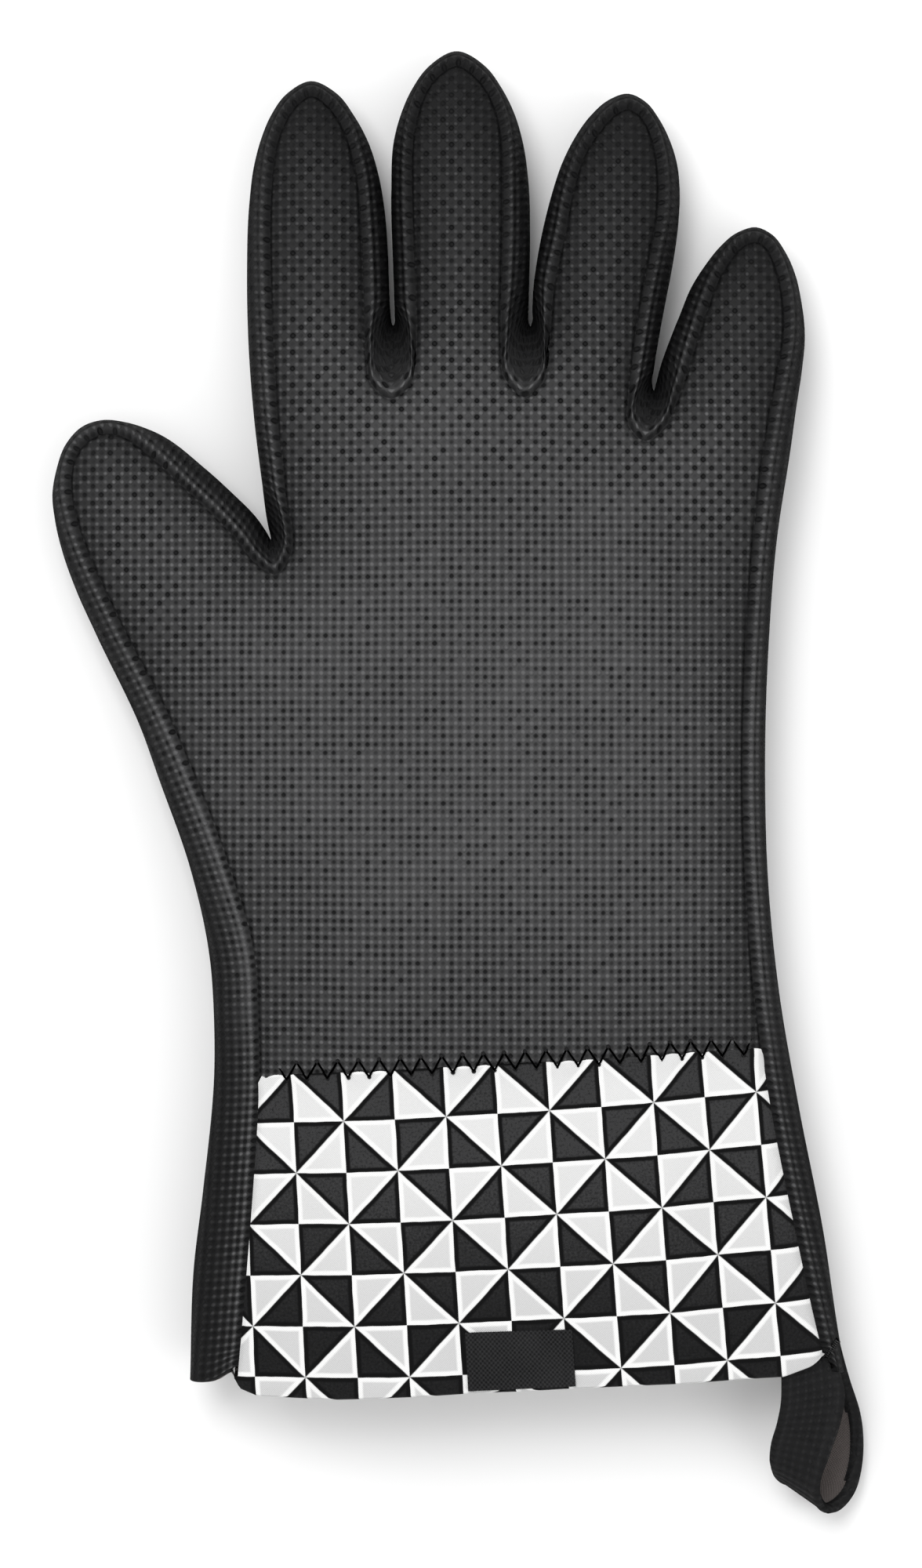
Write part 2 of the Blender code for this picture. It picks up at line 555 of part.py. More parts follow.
# ---- fingers -----------------------------------------------------------------------------------------------------------
for finger in ("index", "middle", "ring", "little"):
    base, tip = f"{finger}_base_bend", f"{finger}_tip_bend"
    b0, b1 = ends(base, 0, 1), ends(base, 1, 1)
    m0, m1 = ends(tip, 0, -1), ends(tip, 1, -1)
    t0, t1 = ends(tip, 0, 1), ends(tip, 1, 1)
    cuts = [(base, 1), (tip, -1)]
    loop = close_loop([seam_run(b0, m0), seam_run(m1, b1)], 9.0)
    panel_pair(f"{finger}_base_", loop, cuts, origin_of(base))
    side_piece(f"{finger}_base_side_l", b0, m0, cuts, origin_of(base))
    side_piece(f"{finger}_base_side_r", m1, b1, cuts, origin_of(base))
    loop, sewn, inward = lining_loop([(b0[0], m0[0]), (m1[0], b1[0])], STRIP_STEP)
    points, faces = bag(loop, sewn, inward, cuts)
    add(f"{finger}_base_lining", points, faces, origin_of(base), COTTON, 0.9)
    cuts = [(tip, 1)]
    loop = close_loop([seam_run(t0, t1)], 9.0)
    panel_pair(f"{finger}_tip_", loop, cuts, origin_of(tip))
    side_piece(f"{finger}_tip_side", t0, t1, cuts, origin_of(tip))
    loop, sewn, inward = lining_loop([(t0[0], t1[0])], STRIP_STEP)
    points, faces = bag(loop, sewn, inward, cuts)
    add(f"{finger}_tip_lining", points, faces, origin_of(tip), COTTON, 0.9)

# ---- thumb -------------------------------------------------------------------------------------------------------------
base, tip = "thumb_base_bend", "thumb_tip_bend"
b0, b1 = ends(base, 0, 1), ends(base, 1, 1)
m0, m1 = ends(tip, 0, -1), ends(tip, 1, -1)
t0, t1 = ends(tip, 0, 1), ends(tip, 1, 1)
cuts = [(base, 1), (tip, -1)]
loop = close_loop([seam_run(b0, m0, SIDE_STEP), seam_run(m1, b1)], 10.0)
panel_pair("thumb_base_", loop, cuts, origin_of(base))
side_piece("thumb_base_side_outer", b0, m0, cuts, origin_of(base), SIDE_STEP)
side_piece("thumb_base_side_upper", m1, b1, cuts, origin_of(base))
cuts = [(tip, 1)]
loop = close_loop([seam_run(t0, t1)], 9.0)
panel_pair("thumb_tip_", loop, cuts, origin_of(tip))
side_piece("thumb_tip_side", t0, t1, cuts, origin_of(tip))
loop, sewn, inward = lining_loop([(t0[0], t1[0])], STRIP_STEP)
points, faces = bag(loop, sewn, inward, cuts)
add("thumb_tip_lining", points, faces, origin_of(tip), COTTON, 0.9)

# ---- hand --------------------------------------------------------------------------------------------------------------
HAND_CUTS = [(name, -1) for name in ("wrist_bend", "thumb_base_bend", "index_base_bend", "middle_base_bend",
                                     "ring_base_bend", "little_base_bend")]
ORDER = [
    ("thumb_side_strip", ("wrist_bend", 0), ("thumb_base_bend", 0), SIDE_STEP),
    ("web_thumb_index", ("thumb_base_bend", 1), ("index_base_bend", 0), STRIP_STEP),
    ("web_index_middle", ("index_base_bend", 1), ("middle_base_bend", 0), 4.5),
    ("web_middle_ring", ("middle_base_bend", 1), ("ring_base_bend", 0), 4.0),
    ("web_ring_little", ("ring_base_bend", 1), ("little_base_bend", 0), 3.2),
    ("little_side_strip", ("little_base_bend", 1), ("wrist_bend", 1), SIDE_STEP),
]
seams, outlines = [], []
for name, (j0, e0), (j1, e1), step in ORDER:
    start, stop = ends(j0, e0, -1), ends(j1, e1, -1)
    side_piece(name, start, stop, HAND_CUTS, (0, 0, 0), step)
    seams.append(seam_run(start, stop, step))
    outlines.append((start[0], stop[0]))
loop = close_loop(seams, 9.0)
panel_pair("", loop, HAND_CUTS, (0, 0, 0), names=("palm_panel", "back_panel"), spacing=14.0)
loop, sewn, inward = lining_loop(outlines, 7.0)
points, faces = bag(loop, sewn, inward, HAND_CUTS, 15.0)
add("hand_lining", points, faces, (0, 0, 0), COTTON, 0.9)

# ---- cuff --------------------------------------------------------------------------------------------------------------
wrist = "wrist_bend"
w0, w1 = ends(wrist, 0, 1), ends(wrist, 1, 1)
hem0, hem1 = (KNOTS[0], KNOTS[0]), (KNOTS[-1], KNOTS[-1])
cuts = [(wrist, 1)]
side_piece("cuff_side_strip_thumb", hem0, w0, cuts, origin_of(wrist), 12.0)
side_piece("cuff_side_strip_little", w1, hem1, cuts, origin_of(wrist), 12.0)
thumb_run, little_run = seam_run(hem0, w0, 12.0), seam_run(w1, hem1, 12.0)
loop = list(thumb_run) + list(split(thumb_run[-1], little_run[0], 12.0)) + list(little_run)
for point in reversed(HEM):
    loop.append(np.array(point))
panel_pair("cuff_fabric_", np.array(loop), cuts, origin_of(wrist), FABRIC_OUT, FABRIC_IN, colour=PRINT, spacing=13.0)
loop, sewn, inward = lining_loop([(KNOTS[0], w0[0]), (w1[0], KNOTS[-1])], 12.0)
points, faces = bag(loop, sewn, inward, cuts, 14.0)
add("cuff_lining", points, faces, origin_of(wrist), COTTON, 0.9)
label = [(-13.0, 0.4), (3.0, 0.8), (18.0, 1.2), (17.4, 16.6), (2.4, 16.2), (-13.4, 15.8)]
points, faces = sheet(np.array(label), 1, LABEL_OUT, LABEL_IN, [], 14.0)
add("label", points, faces, origin_of(wrist), LABEL, 0.8)

# ---- hanging loop: a band folded back on itself below the hem -----------------------------------------------------------
LOOP_LINE = [(76.4, 1.8, 19.0), (73.2, -9.0, 20.4), (72.4, -19.0, 19.2), (75.0, -26.5, 14.5), (79.5, -29.2, 9.0),
             (83.5, -24.0, 4.8), (84.2, -12.0, 4.2), (82.8, 2.4, 8.0)]


def loop_frames():
    """Centre line of the band, its width direction and its thickness direction."""
    line = np.array(LOOP_LINE)
    knots = np.concatenate([[0], np.cumsum(np.linalg.norm(np.diff(line, axis=0), axis=1))])
    slopes = np.gradient(line, knots, axis=0)
    at = np.linspace(0, knots[-1], 19)
    i = np.clip(np.searchsorted(knots, at, "right") - 1, 0, len(knots) - 2)
    gap = (knots[i + 1] - knots[i])[:, None]
    u = (at - knots[i])[:, None] / gap
    pos = (
        (2 * u**3 - 3 * u**2 + 1) * line[i]
        + (u**3 - 2 * u**2 + u) * slopes[i] * gap
        + (3 * u**2 - 2 * u**3) * line[i + 1]
        + (u**3 - u**2) * slopes[i + 1] * gap
    )
    ahead = np.gradient(pos, axis=0)
    ahead /= np.linalg.norm(ahead, axis=1)[:, None]
    wide = np.array([1.0, 0.0, 0.0]) - ahead * ahead[:, :1]
    wide /= np.linalg.norm(wide, axis=1)[:, None]
    return pos, wide, np.cross(ahead, wide)


pos, wide, thick = loop_frames()
points, faces = [], []
for p, w, n in zip(pos, wide, thick):
    for a, b in ((-1, -1), (1, -1), (1, 1), (-1, 1)):
        points.append(p + w * a * LOOP_WIDTH / 2 + n * b * LOOP_SHEET / 2)
for k in range(len(pos) - 1):
    for j in range(4):
        j2 = (j + 1) % 4
        faces.append((4 * k + j, 4 * k + j2, 4 * k + 4 + j2, 4 * k + 4 + j))
faces += [(0, 1, 2, 3), tuple(4 * len(pos) - 4 + j for j in (3, 2, 1, 0))]
add("hanging_loop", np.array(points), faces, LOOP_HINGE, SILICONE_EDGE, 0.55)
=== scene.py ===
"""Looks of the heat resistant glove: textured silicone shell with boxed sides, printed cotton cuff, zigzag stitching,
blank woven label, hanging loop and cotton lining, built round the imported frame."""

import math

import bmesh
import bpy
import numpy as np
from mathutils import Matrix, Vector
from mathutils.geometry import delaunay_2d_cdt


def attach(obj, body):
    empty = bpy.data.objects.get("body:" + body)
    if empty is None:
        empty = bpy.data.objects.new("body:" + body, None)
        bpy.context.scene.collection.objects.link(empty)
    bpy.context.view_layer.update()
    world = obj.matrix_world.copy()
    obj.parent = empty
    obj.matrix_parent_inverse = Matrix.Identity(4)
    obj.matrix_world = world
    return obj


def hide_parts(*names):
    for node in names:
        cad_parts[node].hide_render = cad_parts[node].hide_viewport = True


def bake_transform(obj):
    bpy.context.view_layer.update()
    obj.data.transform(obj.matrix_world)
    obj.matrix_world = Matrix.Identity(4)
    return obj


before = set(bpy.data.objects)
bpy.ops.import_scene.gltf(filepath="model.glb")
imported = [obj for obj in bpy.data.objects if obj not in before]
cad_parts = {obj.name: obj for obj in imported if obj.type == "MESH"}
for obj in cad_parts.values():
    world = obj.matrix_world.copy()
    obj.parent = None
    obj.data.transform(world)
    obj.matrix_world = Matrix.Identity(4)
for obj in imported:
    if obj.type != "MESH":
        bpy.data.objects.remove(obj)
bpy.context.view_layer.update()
MM = 0.001

# ---- pattern outline -------------------------------------------------------------------------------------------------
# Stations round the glove from the thumb side of the cuff to the little-finger side: x, y of the outline and x, y of the
# seam between the face panel and the strip at that station, mm.
SIDE_THUMB = [
    (-82.2, 4.0, -70.4, 4.0), (-81.2, 33.0, -68.0, 33.0), (-79.0, 51.0, -66.6, 51.0), (-76.0, 85.0, -65.0, 85.0),
    (-76.2, 97.0, -65.4, 97.0), (-77.0, 109.0, -66.0, 109.4), (-82.0, 133.0, -73.0, 134.6),
    (-90.6, 157.0, -83.0, 160.2), (-95.0, 169.0, -88.2, 172.2), (-106.4, 193.0, -100.2, 195.4),
]
THUMB = [
    (-111.8, 205.0, -105.8, 207.2), (-115.0, 214.0, -109.4, 215.6), (-117.0, 222.6, -112.0, 224.0),
    (-117.6, 229.0, -113.0, 230.0), (-116.6, 235.0, -112.8, 235.0), (-114.2, 241.6, -111.0, 240.0),
    (-110.2, 246.0, -108.0, 243.0), (-105.0, 247.8, -104.0, 244.6), (-98.6, 247.2, -99.0, 243.6),
    (-92.0, 245.0, -94.4, 240.4), (-78.2, 235.0, -82.6, 229.6), (-71.6, 229.0, -76.2, 223.6),
    (-65.8, 223.2, -70.4, 217.4), (-62.8, 219.0, -64.8, 211.0),
]
CROTCH_THUMB_INDEX = [(-61.6, 217.0, -61.0, 208.6)]
INDEX = [
    (-62.4, 220.6, -57.8, 212.2), (-64.0, 232.0, -58.6, 230.0), (-66.0, 248.0, -60.4, 248.0),
    (-67.6, 268.0, -61.6, 268.0), (-68.0, 286.0, -62.2, 286.0), (-67.4, 303.0, -62.2, 302.6),
    (-66.2, 312.6, -61.6, 311.4), (-64.4, 319.4, -60.8, 317.4), (-62.0, 325.2, -59.0, 322.6),
    (-58.0, 330.8, -56.0, 327.6), (-51.6, 334.2, -51.4, 330.6), (-45.0, 331.0, -46.8, 327.6),
    (-40.4, 325.0, -43.4, 322.6), (-37.0, 318.6, -41.2, 316.6), (-34.4, 310.2, -39.6, 309.4),
    (-32.8, 300.6, -38.8, 300.2), (-32.0, 289.0, -38.2, 289.0), (-31.6, 278.0, -37.8, 276.6),
    (-31.3, 274.2, -37.4, 264.6), (-31.1, 272.6, -35.7, 256.4),
]
CROTCH_INDEX_MIDDLE = [(-30.7, 271.8, -31.2, 253.4)]
MIDDLE = [
    (-30.3, 272.6, -26.7, 256.4), (-30.3, 274.6, -25.2, 265.4), (-30.4, 278.0, -25.2, 277.4),
    (-30.8, 289.0, -25.6, 289.0), (-31.2, 306.0, -26.2, 306.0), (-30.4, 319.8, -26.0, 318.2),
    (-28.8, 325.6, -25.2, 323.6), (-26.0, 332.0, -23.4, 329.6), (-21.8, 337.8, -20.4, 334.6),
    (-14.4, 341.8, -14.4, 338.2), (-7.0, 337.8, -8.8, 334.6), (-3.0, 332.4, -5.6, 330.0), (0.2, 326.0, -3.6, 324.2),
    (2.4, 318.6, -2.6, 317.4), (3.8, 308.6, -2.4, 308.2), (4.2, 295.0, -2.4, 295.0), (4.0, 283.0, -2.8, 281.4),
    (3.8, 276.0, -3.0, 268.6), (3.8, 273.0, -1.7, 257.8),
]
CROTCH_MIDDLE_RING = [(4.3, 271.6, 2.8, 253.8)]
RING = [
    (4.8, 273.0, 7.0, 257.2), (4.8, 276.0, 8.6, 267.4), (5.2, 283.0, 10.0, 281.4), (7.6, 297.0, 13.0, 296.0),
    (9.8, 305.6, 14.4, 304.0), (12.4, 313.4, 16.2, 311.0), (15.6, 319.8, 18.4, 316.6), (19.8, 325.6, 22.0, 321.8),
    (24.2, 329.4, 25.2, 325.4), (29.2, 331.0, 28.8, 327.2), (33.8, 328.8, 32.2, 325.6), (37.2, 324.4, 34.6, 322.0),
    (40.2, 318.2, 36.2, 316.6), (41.8, 312.6, 37.0, 311.4), (42.4, 306.0, 37.2, 305.6), (42.0, 297.4, 36.6, 298.0),
    (40.6, 287.4, 34.8, 288.4), (38.6, 277.0, 32.8, 277.8), (36.8, 267.4, 31.2, 267.8), (35.6, 260.0, 30.0, 257.4),
    (35.2, 256.8, 29.9, 245.9),
]
CROTCH_RING_LITTLE = [(35.6, 255.0, 33.4, 242.6)]
LITTLE = [
    (36.2, 256.8, 37.6, 245.4), (37.4, 261.4, 42.2, 255.0), (39.6, 267.6, 45.4, 264.6), (42.4, 274.6, 48.0, 272.8),
    (45.4, 281.8, 50.4, 279.8), (48.8, 287.2, 52.6, 284.8), (52.8, 292.2, 55.2, 289.0), (57.0, 295.6, 58.4, 292.4),
    (61.6, 297.0, 61.4, 293.4), (66.0, 295.0, 64.4, 292.0), (69.2, 290.8, 66.4, 288.4), (71.8, 285.0, 68.0, 283.4),
    (73.4, 277.8, 69.0, 277.0), (74.2, 269.0, 69.0, 268.6), (73.4, 260.6, 67.8, 261.0), (71.8, 250.6, 66.0, 251.6),
]
SIDE_LITTLE = [
    (70.2, 239.4, 64.2, 240.4), (66.8, 217.0, 61.4, 217.4), (64.8, 192.0, 59.6, 192.0), (63.8, 159.0, 58.6, 159.0),
    (64.8, 127.0, 59.6, 127.0), (67.4, 102.0, 61.6, 101.8), (72.2, 74.0, 65.6, 73.8), (79.0, 39.0, 72.6, 38.6),
    (81.6, 21.0, 76.6, 20.2), (84.0, 6.0, 80.2, 5.4),
]

# ---- joints, as in the frame -------------------------------------------------------------------------------------------
LINES = {  # point on the joint line, direction the moving side points in (mm, top view)
    "wrist": ((0.0, 83.5), (0.0546, -0.9985)),
    "thumb": ((-62.6, 218.6), (-0.963, 0.2696)),
    "thumb_tip": ((-92.0, 218.0), (-0.478, 0.878)),
    "index": ((-49.5, 274.0), (0.0, 1.0)),
    "index_tip": ((-49.5, 303.0), (0.0, 1.0)),
    "middle": ((-13.3, 274.0), (0.0, 1.0)),
    "middle_tip": ((-13.5, 306.0), (0.0, 1.0)),
    "ring": ((20.5, 272.3), (0.0698, 0.9976)),
    "ring_tip": ((25.0, 300.6), (0.0698, 0.9976)),
    "little": ((54.5, 256.7), (0.1045, 0.9945)),
    "little_tip": ((58.6, 276.6), (0.1045, 0.9945)),
}
# along each line's direction: where the bend between the two bodies starts and ends
RAMPS = {
    "wrist": (0.0, 15.0), "thumb": (-1.4, 7.8), "thumb_tip": (-2.5, 12.5),
    "index": (-2.0, 14.0), "index_tip": (-8.5, 8.5), "middle": (-2.0, 14.0), "middle_tip": (-8.5, 8.5),
    "ring": (-1.8, 14.0), "ring_tip": (-8.5, 8.5), "little": (-2.0, 11.0), "little_tip": (-6.0, 7.0),
}
SPLIT = {"index": 17.0, "middle": 18.0, "ring": 17.0, "little": 12.5}
THUMB_SPLIT = ((-69.5, 226.8), (-0.795, 0.608))


def ahead_of(xy, name):
    """Distance of points past a joint line, along its direction."""
    p, n = LINES[name]
    n = np.array(n) / np.hypot(*n)
    return (np.atleast_2d(xy)[:, :2] - p) @ n


# ---- outline curve -----------------------------------------------------------------------------------------------------
GROUPS = [SIDE_THUMB, THUMB, CROTCH_THUMB_INDEX, INDEX, CROTCH_INDEX_MIDDLE, MIDDLE, CROTCH_MIDDLE_RING, RING,
          CROTCH_RING_LITTLE, LITTLE, SIDE_LITTLE]
ROWS = np.array([row for group in GROUPS for row in group], float)
STARTS = np.cumsum([0] + [len(group) for group in GROUPS])
_d = np.diff(ROWS, axis=0)
KNOTS = np.concatenate([[0.0], np.cumsum(0.5 * (np.hypot(_d[:, 0], _d[:, 1]) + np.hypot(_d[:, 2], _d[:, 3])))])


def tangents():
    gap = np.diff(KNOTS)[:, None]
    slope = np.diff(ROWS, axis=0) / gap
    inner = (slope[1:] * gap[:-1] + slope[:-1] * gap[1:]) / (gap[:-1] + gap[1:])
    return np.vstack([slope[:1], inner, slope[-1:]])


SLOPES = tangents()
EYE = np.array([-13.4, 155.0])  # the middle of the main view
EYE_HEIGHT = 956.0


def path(t):
    """Outline and seam point at curve position t, straight on past both ends."""
    t = np.atleast_1d(np.asarray(t, float))
    c = np.clip(t, KNOTS[0], KNOTS[-1])
    i = np.clip(np.searchsorted(KNOTS, c, "right") - 1, 0, len(KNOTS) - 2)
    gap = (KNOTS[i + 1] - KNOTS[i])[:, None]
    u = (c - KNOTS[i])[:, None] / gap
    a, b = ROWS[i], ROWS[i + 1]
    ma, mb = SLOPES[i] * gap, SLOPES[i + 1] * gap
    at = (2 * u**3 - 3 * u**2 + 1) * a + (u**3 - 2 * u**2 + u) * ma + (3 * u**2 - 2 * u**3) * b + (u**3 - u**2) * mb
    return at + np.where(t < KNOTS[0], t - KNOTS[0], 0.0)[:, None] * SLOPES[0] + np.where(
        t > KNOTS[-1], t - KNOTS[-1], 0.0
    )[:, None] * SLOPES[-1]


def knot(group, row=0):
    return float(KNOTS[STARTS[group] + row])


DENSE = path(np.linspace(KNOTS[0], KNOTS[-1], 1300))
BORDER = np.vstack([[DENSE[0, 0] - 2.0, -80.0], DENSE[:, :2], [DENSE[-1, 0] + 9.0, -80.0]])


def to_polyline(q, line, closed=False):
    """Distance from points to a polyline."""
    a = line if closed else line[:-1]
    b = np.roll(line, -1, 0) if closed else line[1:]
    ab = b - a
    length = (ab**2).sum(1) + 1e-12
    out = np.empty(len(q))
    for k in range(0, len(q), 600):
        p = q[k : k + 600, None, :]
        u = np.clip(((p - a) * ab).sum(2) / length, 0, 1)
        out[k : k + 600] = np.sqrt(((p - a - u[..., None] * ab) ** 2).sum(2).min(1))
    return out


def within(q, line):
    """Whether points lie inside a closed polyline."""
    a, b = line, np.roll(line, -1, 0)
    out = np.empty(len(q), bool)
    for k in range(0, len(q), 600):
        p = q[k : k + 600, None, :]
        up = (a[:, 1] > p[..., 1]) != (b[:, 1] > p[..., 1])
        with np.errstate(divide="ignore", invalid="ignore"):
            at = a[:, 0] + (p[..., 1] - a[:, 1]) * (b[:, 0] - a[:, 0]) / (b[:, 1] - a[:, 1])
        out[k : k + 600] = ((up & (p[..., 0] < at)).sum(1) % 2) == 1
    return out


def smooth(x):
    x = np.clip(x, 0.0, 1.0)
    return x * x * (3 - 2 * x)


def mid_height(xy):
    x, y = xy[:, 0], xy[:, 1]
    fingers = 1 - smooth((y - 238.0) / 46.0)
    thumb = 1 - smooth((y - 130.0) / 40.0) * (1 - smooth((x + 98.0) / 36.0))
    return 11.5 + 4.3 * fingers * thumb


def ripple(x, y, seed):
    """Gentle unevenness of a padded sheet, from -1 to 1."""
    a = np.sin(0.093 * x + 0.041 * y + seed) * np.sin(0.038 * x - 0.117 * y + 2.1 * seed)
    b = np.sin(0.171 * x - 0.089 * y + 3.7 * seed) * np.sin(0.064 * x + 0.148 * y + 1.3 * seed)
    return 0.62 * a + 0.38 * b


def pillow(xy, side, d, inset=0.0):
    """Height of the shell, front (1) or back (-1), from the distance d to the outline."""
    mid = mid_height(xy)
    k = np.clip((d - inset) / (17.0 - inset), 0.0, 1.0)
    h = (12.0 - inset) * np.sqrt(np.maximum(0.0, 1 - (1 - k) ** 2)) + 5.0 * smooth((d - 17.0) / 28.0)
    if side > 0:
        return mid + h + 0.55 * ripple(xy[:, 0], xy[:, 1], 0.7) * smooth((d - 4) / 12)
    v = mid - h - inset
    e = 1.0
    return inset + np.where(v < -e, 0.0, np.where(v > e, v, (v + e) ** 2 / (4 * e)))


def settle_seams():
    """The table gives the seam as seen from above the middle; move each point to its place on the raised surface."""
    global SLOPES
    z = pillow(ROWS[:, 2:], 1, to_polyline(ROWS[:, 2:], BORDER))
    ROWS[:, 2:] = EYE + (ROWS[:, 2:] - EYE) * ((EYE_HEIGHT - z) / 944.0)[:, None]
    SLOPES = tangents()


settle_seams()

# ---- mesh building -----------------------------------------------------------------------------------------------------
def vertex_normals(points, tris):
    p = points[tris]
    n = np.cross(p[:, 1] - p[:, 0], p[:, 2] - p[:, 0])
    out = np.zeros_like(points)
    for k in range(3):
        np.add.at(out, tris[:, k], n)
    return out / (np.linalg.norm(out, axis=1)[:, None] + 1e-12)


def fill(loop, inner):
    """Triangles over a closed loop with inner points; loop points come first."""
    pts = np.vstack([loop, inner])
    x, y = loop.T
    order = list(range(len(loop)))
    if (x * np.roll(y, -1) - np.roll(x, -1) * y).sum() < 0:
        order.reverse()
    found = delaunay_2d_cdt([Vector(q) for q in pts], [], [order], 1, 1e-6, True)
    source = np.array([ids[0] if ids else -1 for ids in found[3]])
    if (source < 0).any():
        raise ValueError("the outline crosses itself")
    tris = source[np.array([tuple(f) for f in found[2]], int)]
    rim = np.nonzero((tris < len(loop)).all(1))[0]
    outside = ~within(pts[tris[rim]].mean(1), loop)
    tris = np.delete(tris, rim[outside], 0)
    a, b, c = pts[tris[:, 0]], pts[tris[:, 1]], pts[tris[:, 2]]
    area = (b[:, 0] - a[:, 0]) * (c[:, 1] - a[:, 1]) - (b[:, 1] - a[:, 1]) * (c[:, 0] - a[:, 0])
    tris[area < 0] = tris[area < 0][:, ::-1]
    return pts, tris[np.abs(area) > 1e-9]


ORIGIN = np.array([0.0, 150.0, 0.0])  # the frame's origin in the outline's coordinates, mm


def make(name, points, faces, normals=None, uv=None, material=None, slots=None, quads=None, painted_shading=None):
    """A mesh object from numpy arrays in mm."""
    mesh = bpy.data.meshes.new(name)
    lists = [tuple(int(i) for i in f) for f in faces]
    if quads is not None:
        lists += [tuple(int(i) for i in f) for f in quads]
    mesh.from_pydata(((np.asarray(points) - ORIGIN) * MM).tolist(), [], lists)
    mesh.update()
    mesh.polygons.foreach_set("use_smooth", np.ones(len(mesh.polygons), bool))
    if uv is not None:
        layer = mesh.uv_layers.new(name="UVMap")
        loop_vertex = np.empty(len(mesh.loops), np.int32)
        mesh.loops.foreach_get("vertex_index", loop_vertex)
        layer.data.foreach_set("uv", np.asarray(uv, np.float32)[loop_vertex].ravel())
    for mat in material if isinstance(material, (list, tuple)) else [material]:
        if mat is not None:
            mesh.materials.append(mat)
    if slots is not None:
        mesh.polygons.foreach_set("material_index", np.asarray(slots, np.int32))
    if painted_shading is not None:
        for key, value in zip(("painted_shading", "dot_contrast", "knit"), np.atleast_2d(painted_shading)):
            layer = mesh.attributes.new(key, "FLOAT", "POINT")
            layer.data.foreach_set("value", np.asarray(value, np.float32))
    if normals is not None:
        mesh.normals_split_custom_set_from_vertices(np.asarray(normals, float).tolist())
    obj = bpy.data.objects.new(name, mesh)
    bpy.context.scene.collection.objects.link(obj)
    return obj


def thick(name, points, normals, uv, tris, thickness, material, painted_shading=None):
    """A sheet with thickness from part of a surface: outer face, inner face and rims."""
    used = np.unique(tris)
    index = np.full(len(points), -1)
    index[used] = np.arange(len(used))
    t = index[tris]
    p, n, w = points[used], normals[used], uv[used]
    count = len(used)
    edges = np.concatenate([t[:, [0, 1]], t[:, [1, 2]], t[:, [2, 0]]])
    key = edges[:, 0] * count + edges[:, 1]
    back = edges[:, 1] * count + edges[:, 0]
    rim = edges[~np.isin(key, back)]
    quads = np.column_stack([rim[:, 1], rim[:, 0], rim[:, 0] + count, rim[:, 1] + count])
    inner = p - n * thickness
    if painted_shading is not None:
        painted_shading = np.atleast_2d(painted_shading)[:, used]
        painted_shading = np.hstack([painted_shading, painted_shading])
    return make(name, np.vstack([p, inner]), np.vstack([t, t[:, ::-1] + count]), np.vstack([n, -n]),
                np.vstack([w, w]), material, quads=quads, painted_shading=painted_shading)


def tube(points, radius, sides=6, closed=False):
    """A round thread along points; radius may vary."""
    points = np.asarray(points, float)
    radius = np.broadcast_to(radius, (len(points),))
    if closed:
        ahead = np.roll(points, -1, 0) - np.roll(points, 1, 0)
    else:
        ahead = np.gradient(points, axis=0)
    ahead /= np.linalg.norm(ahead, axis=1)[:, None] + 1e-12
    up = np.array([0.0, 0.0, 1.0]) - ahead * ahead[:, 2:]
    up /= np.linalg.norm(up, axis=1)[:, None] + 1e-12
    out = np.cross(ahead, up)
    angle = np.linspace(0, 2 * np.pi, sides, endpoint=False)
    ring = np.cos(angle)[None, :, None] * out[:, None] + np.sin(angle)[None, :, None] * up[:, None]
    verts = (points[:, None] + ring * radius[:, None, None]).reshape(-1, 3)
    n = len(points)
    faces = []
    for k in range(n if closed else n - 1):
        k2 = (k + 1) % n
        for j in range(sides):
            j2 = (j + 1) % sides
            faces.append((k * sides + j, k * sides + j2, k2 * sides + j2, k2 * sides + j))
    if not closed:
        faces.append(tuple(range(sides - 1, -1, -1)))
        faces.append(tuple((n - 1) * sides + j for j in range(sides)))
    return verts, faces, ring.reshape(-1, 3)


def weld_close(obj):
    """Merges points that lie on one another, such as the poles of a ball."""
    bm = bmesh.new()
    bm.from_mesh(obj.data)
    bmesh.ops.remove_doubles(bm, verts=bm.verts, dist=1e-6)
    bmesh.ops.dissolve_degenerate(bm, edges=bm.edges, dist=1e-7)
    bm.to_mesh(obj.data)
    bm.free()


# ---- materials ---------------------------------------------------------------------------------------------------------
def new_material(name):
    mat = bpy.data.materials.new(name)
    mat.use_nodes = True
    tree = mat.node_tree
    shader = tree.nodes["Principled BSDF"]
    return mat, tree, shader


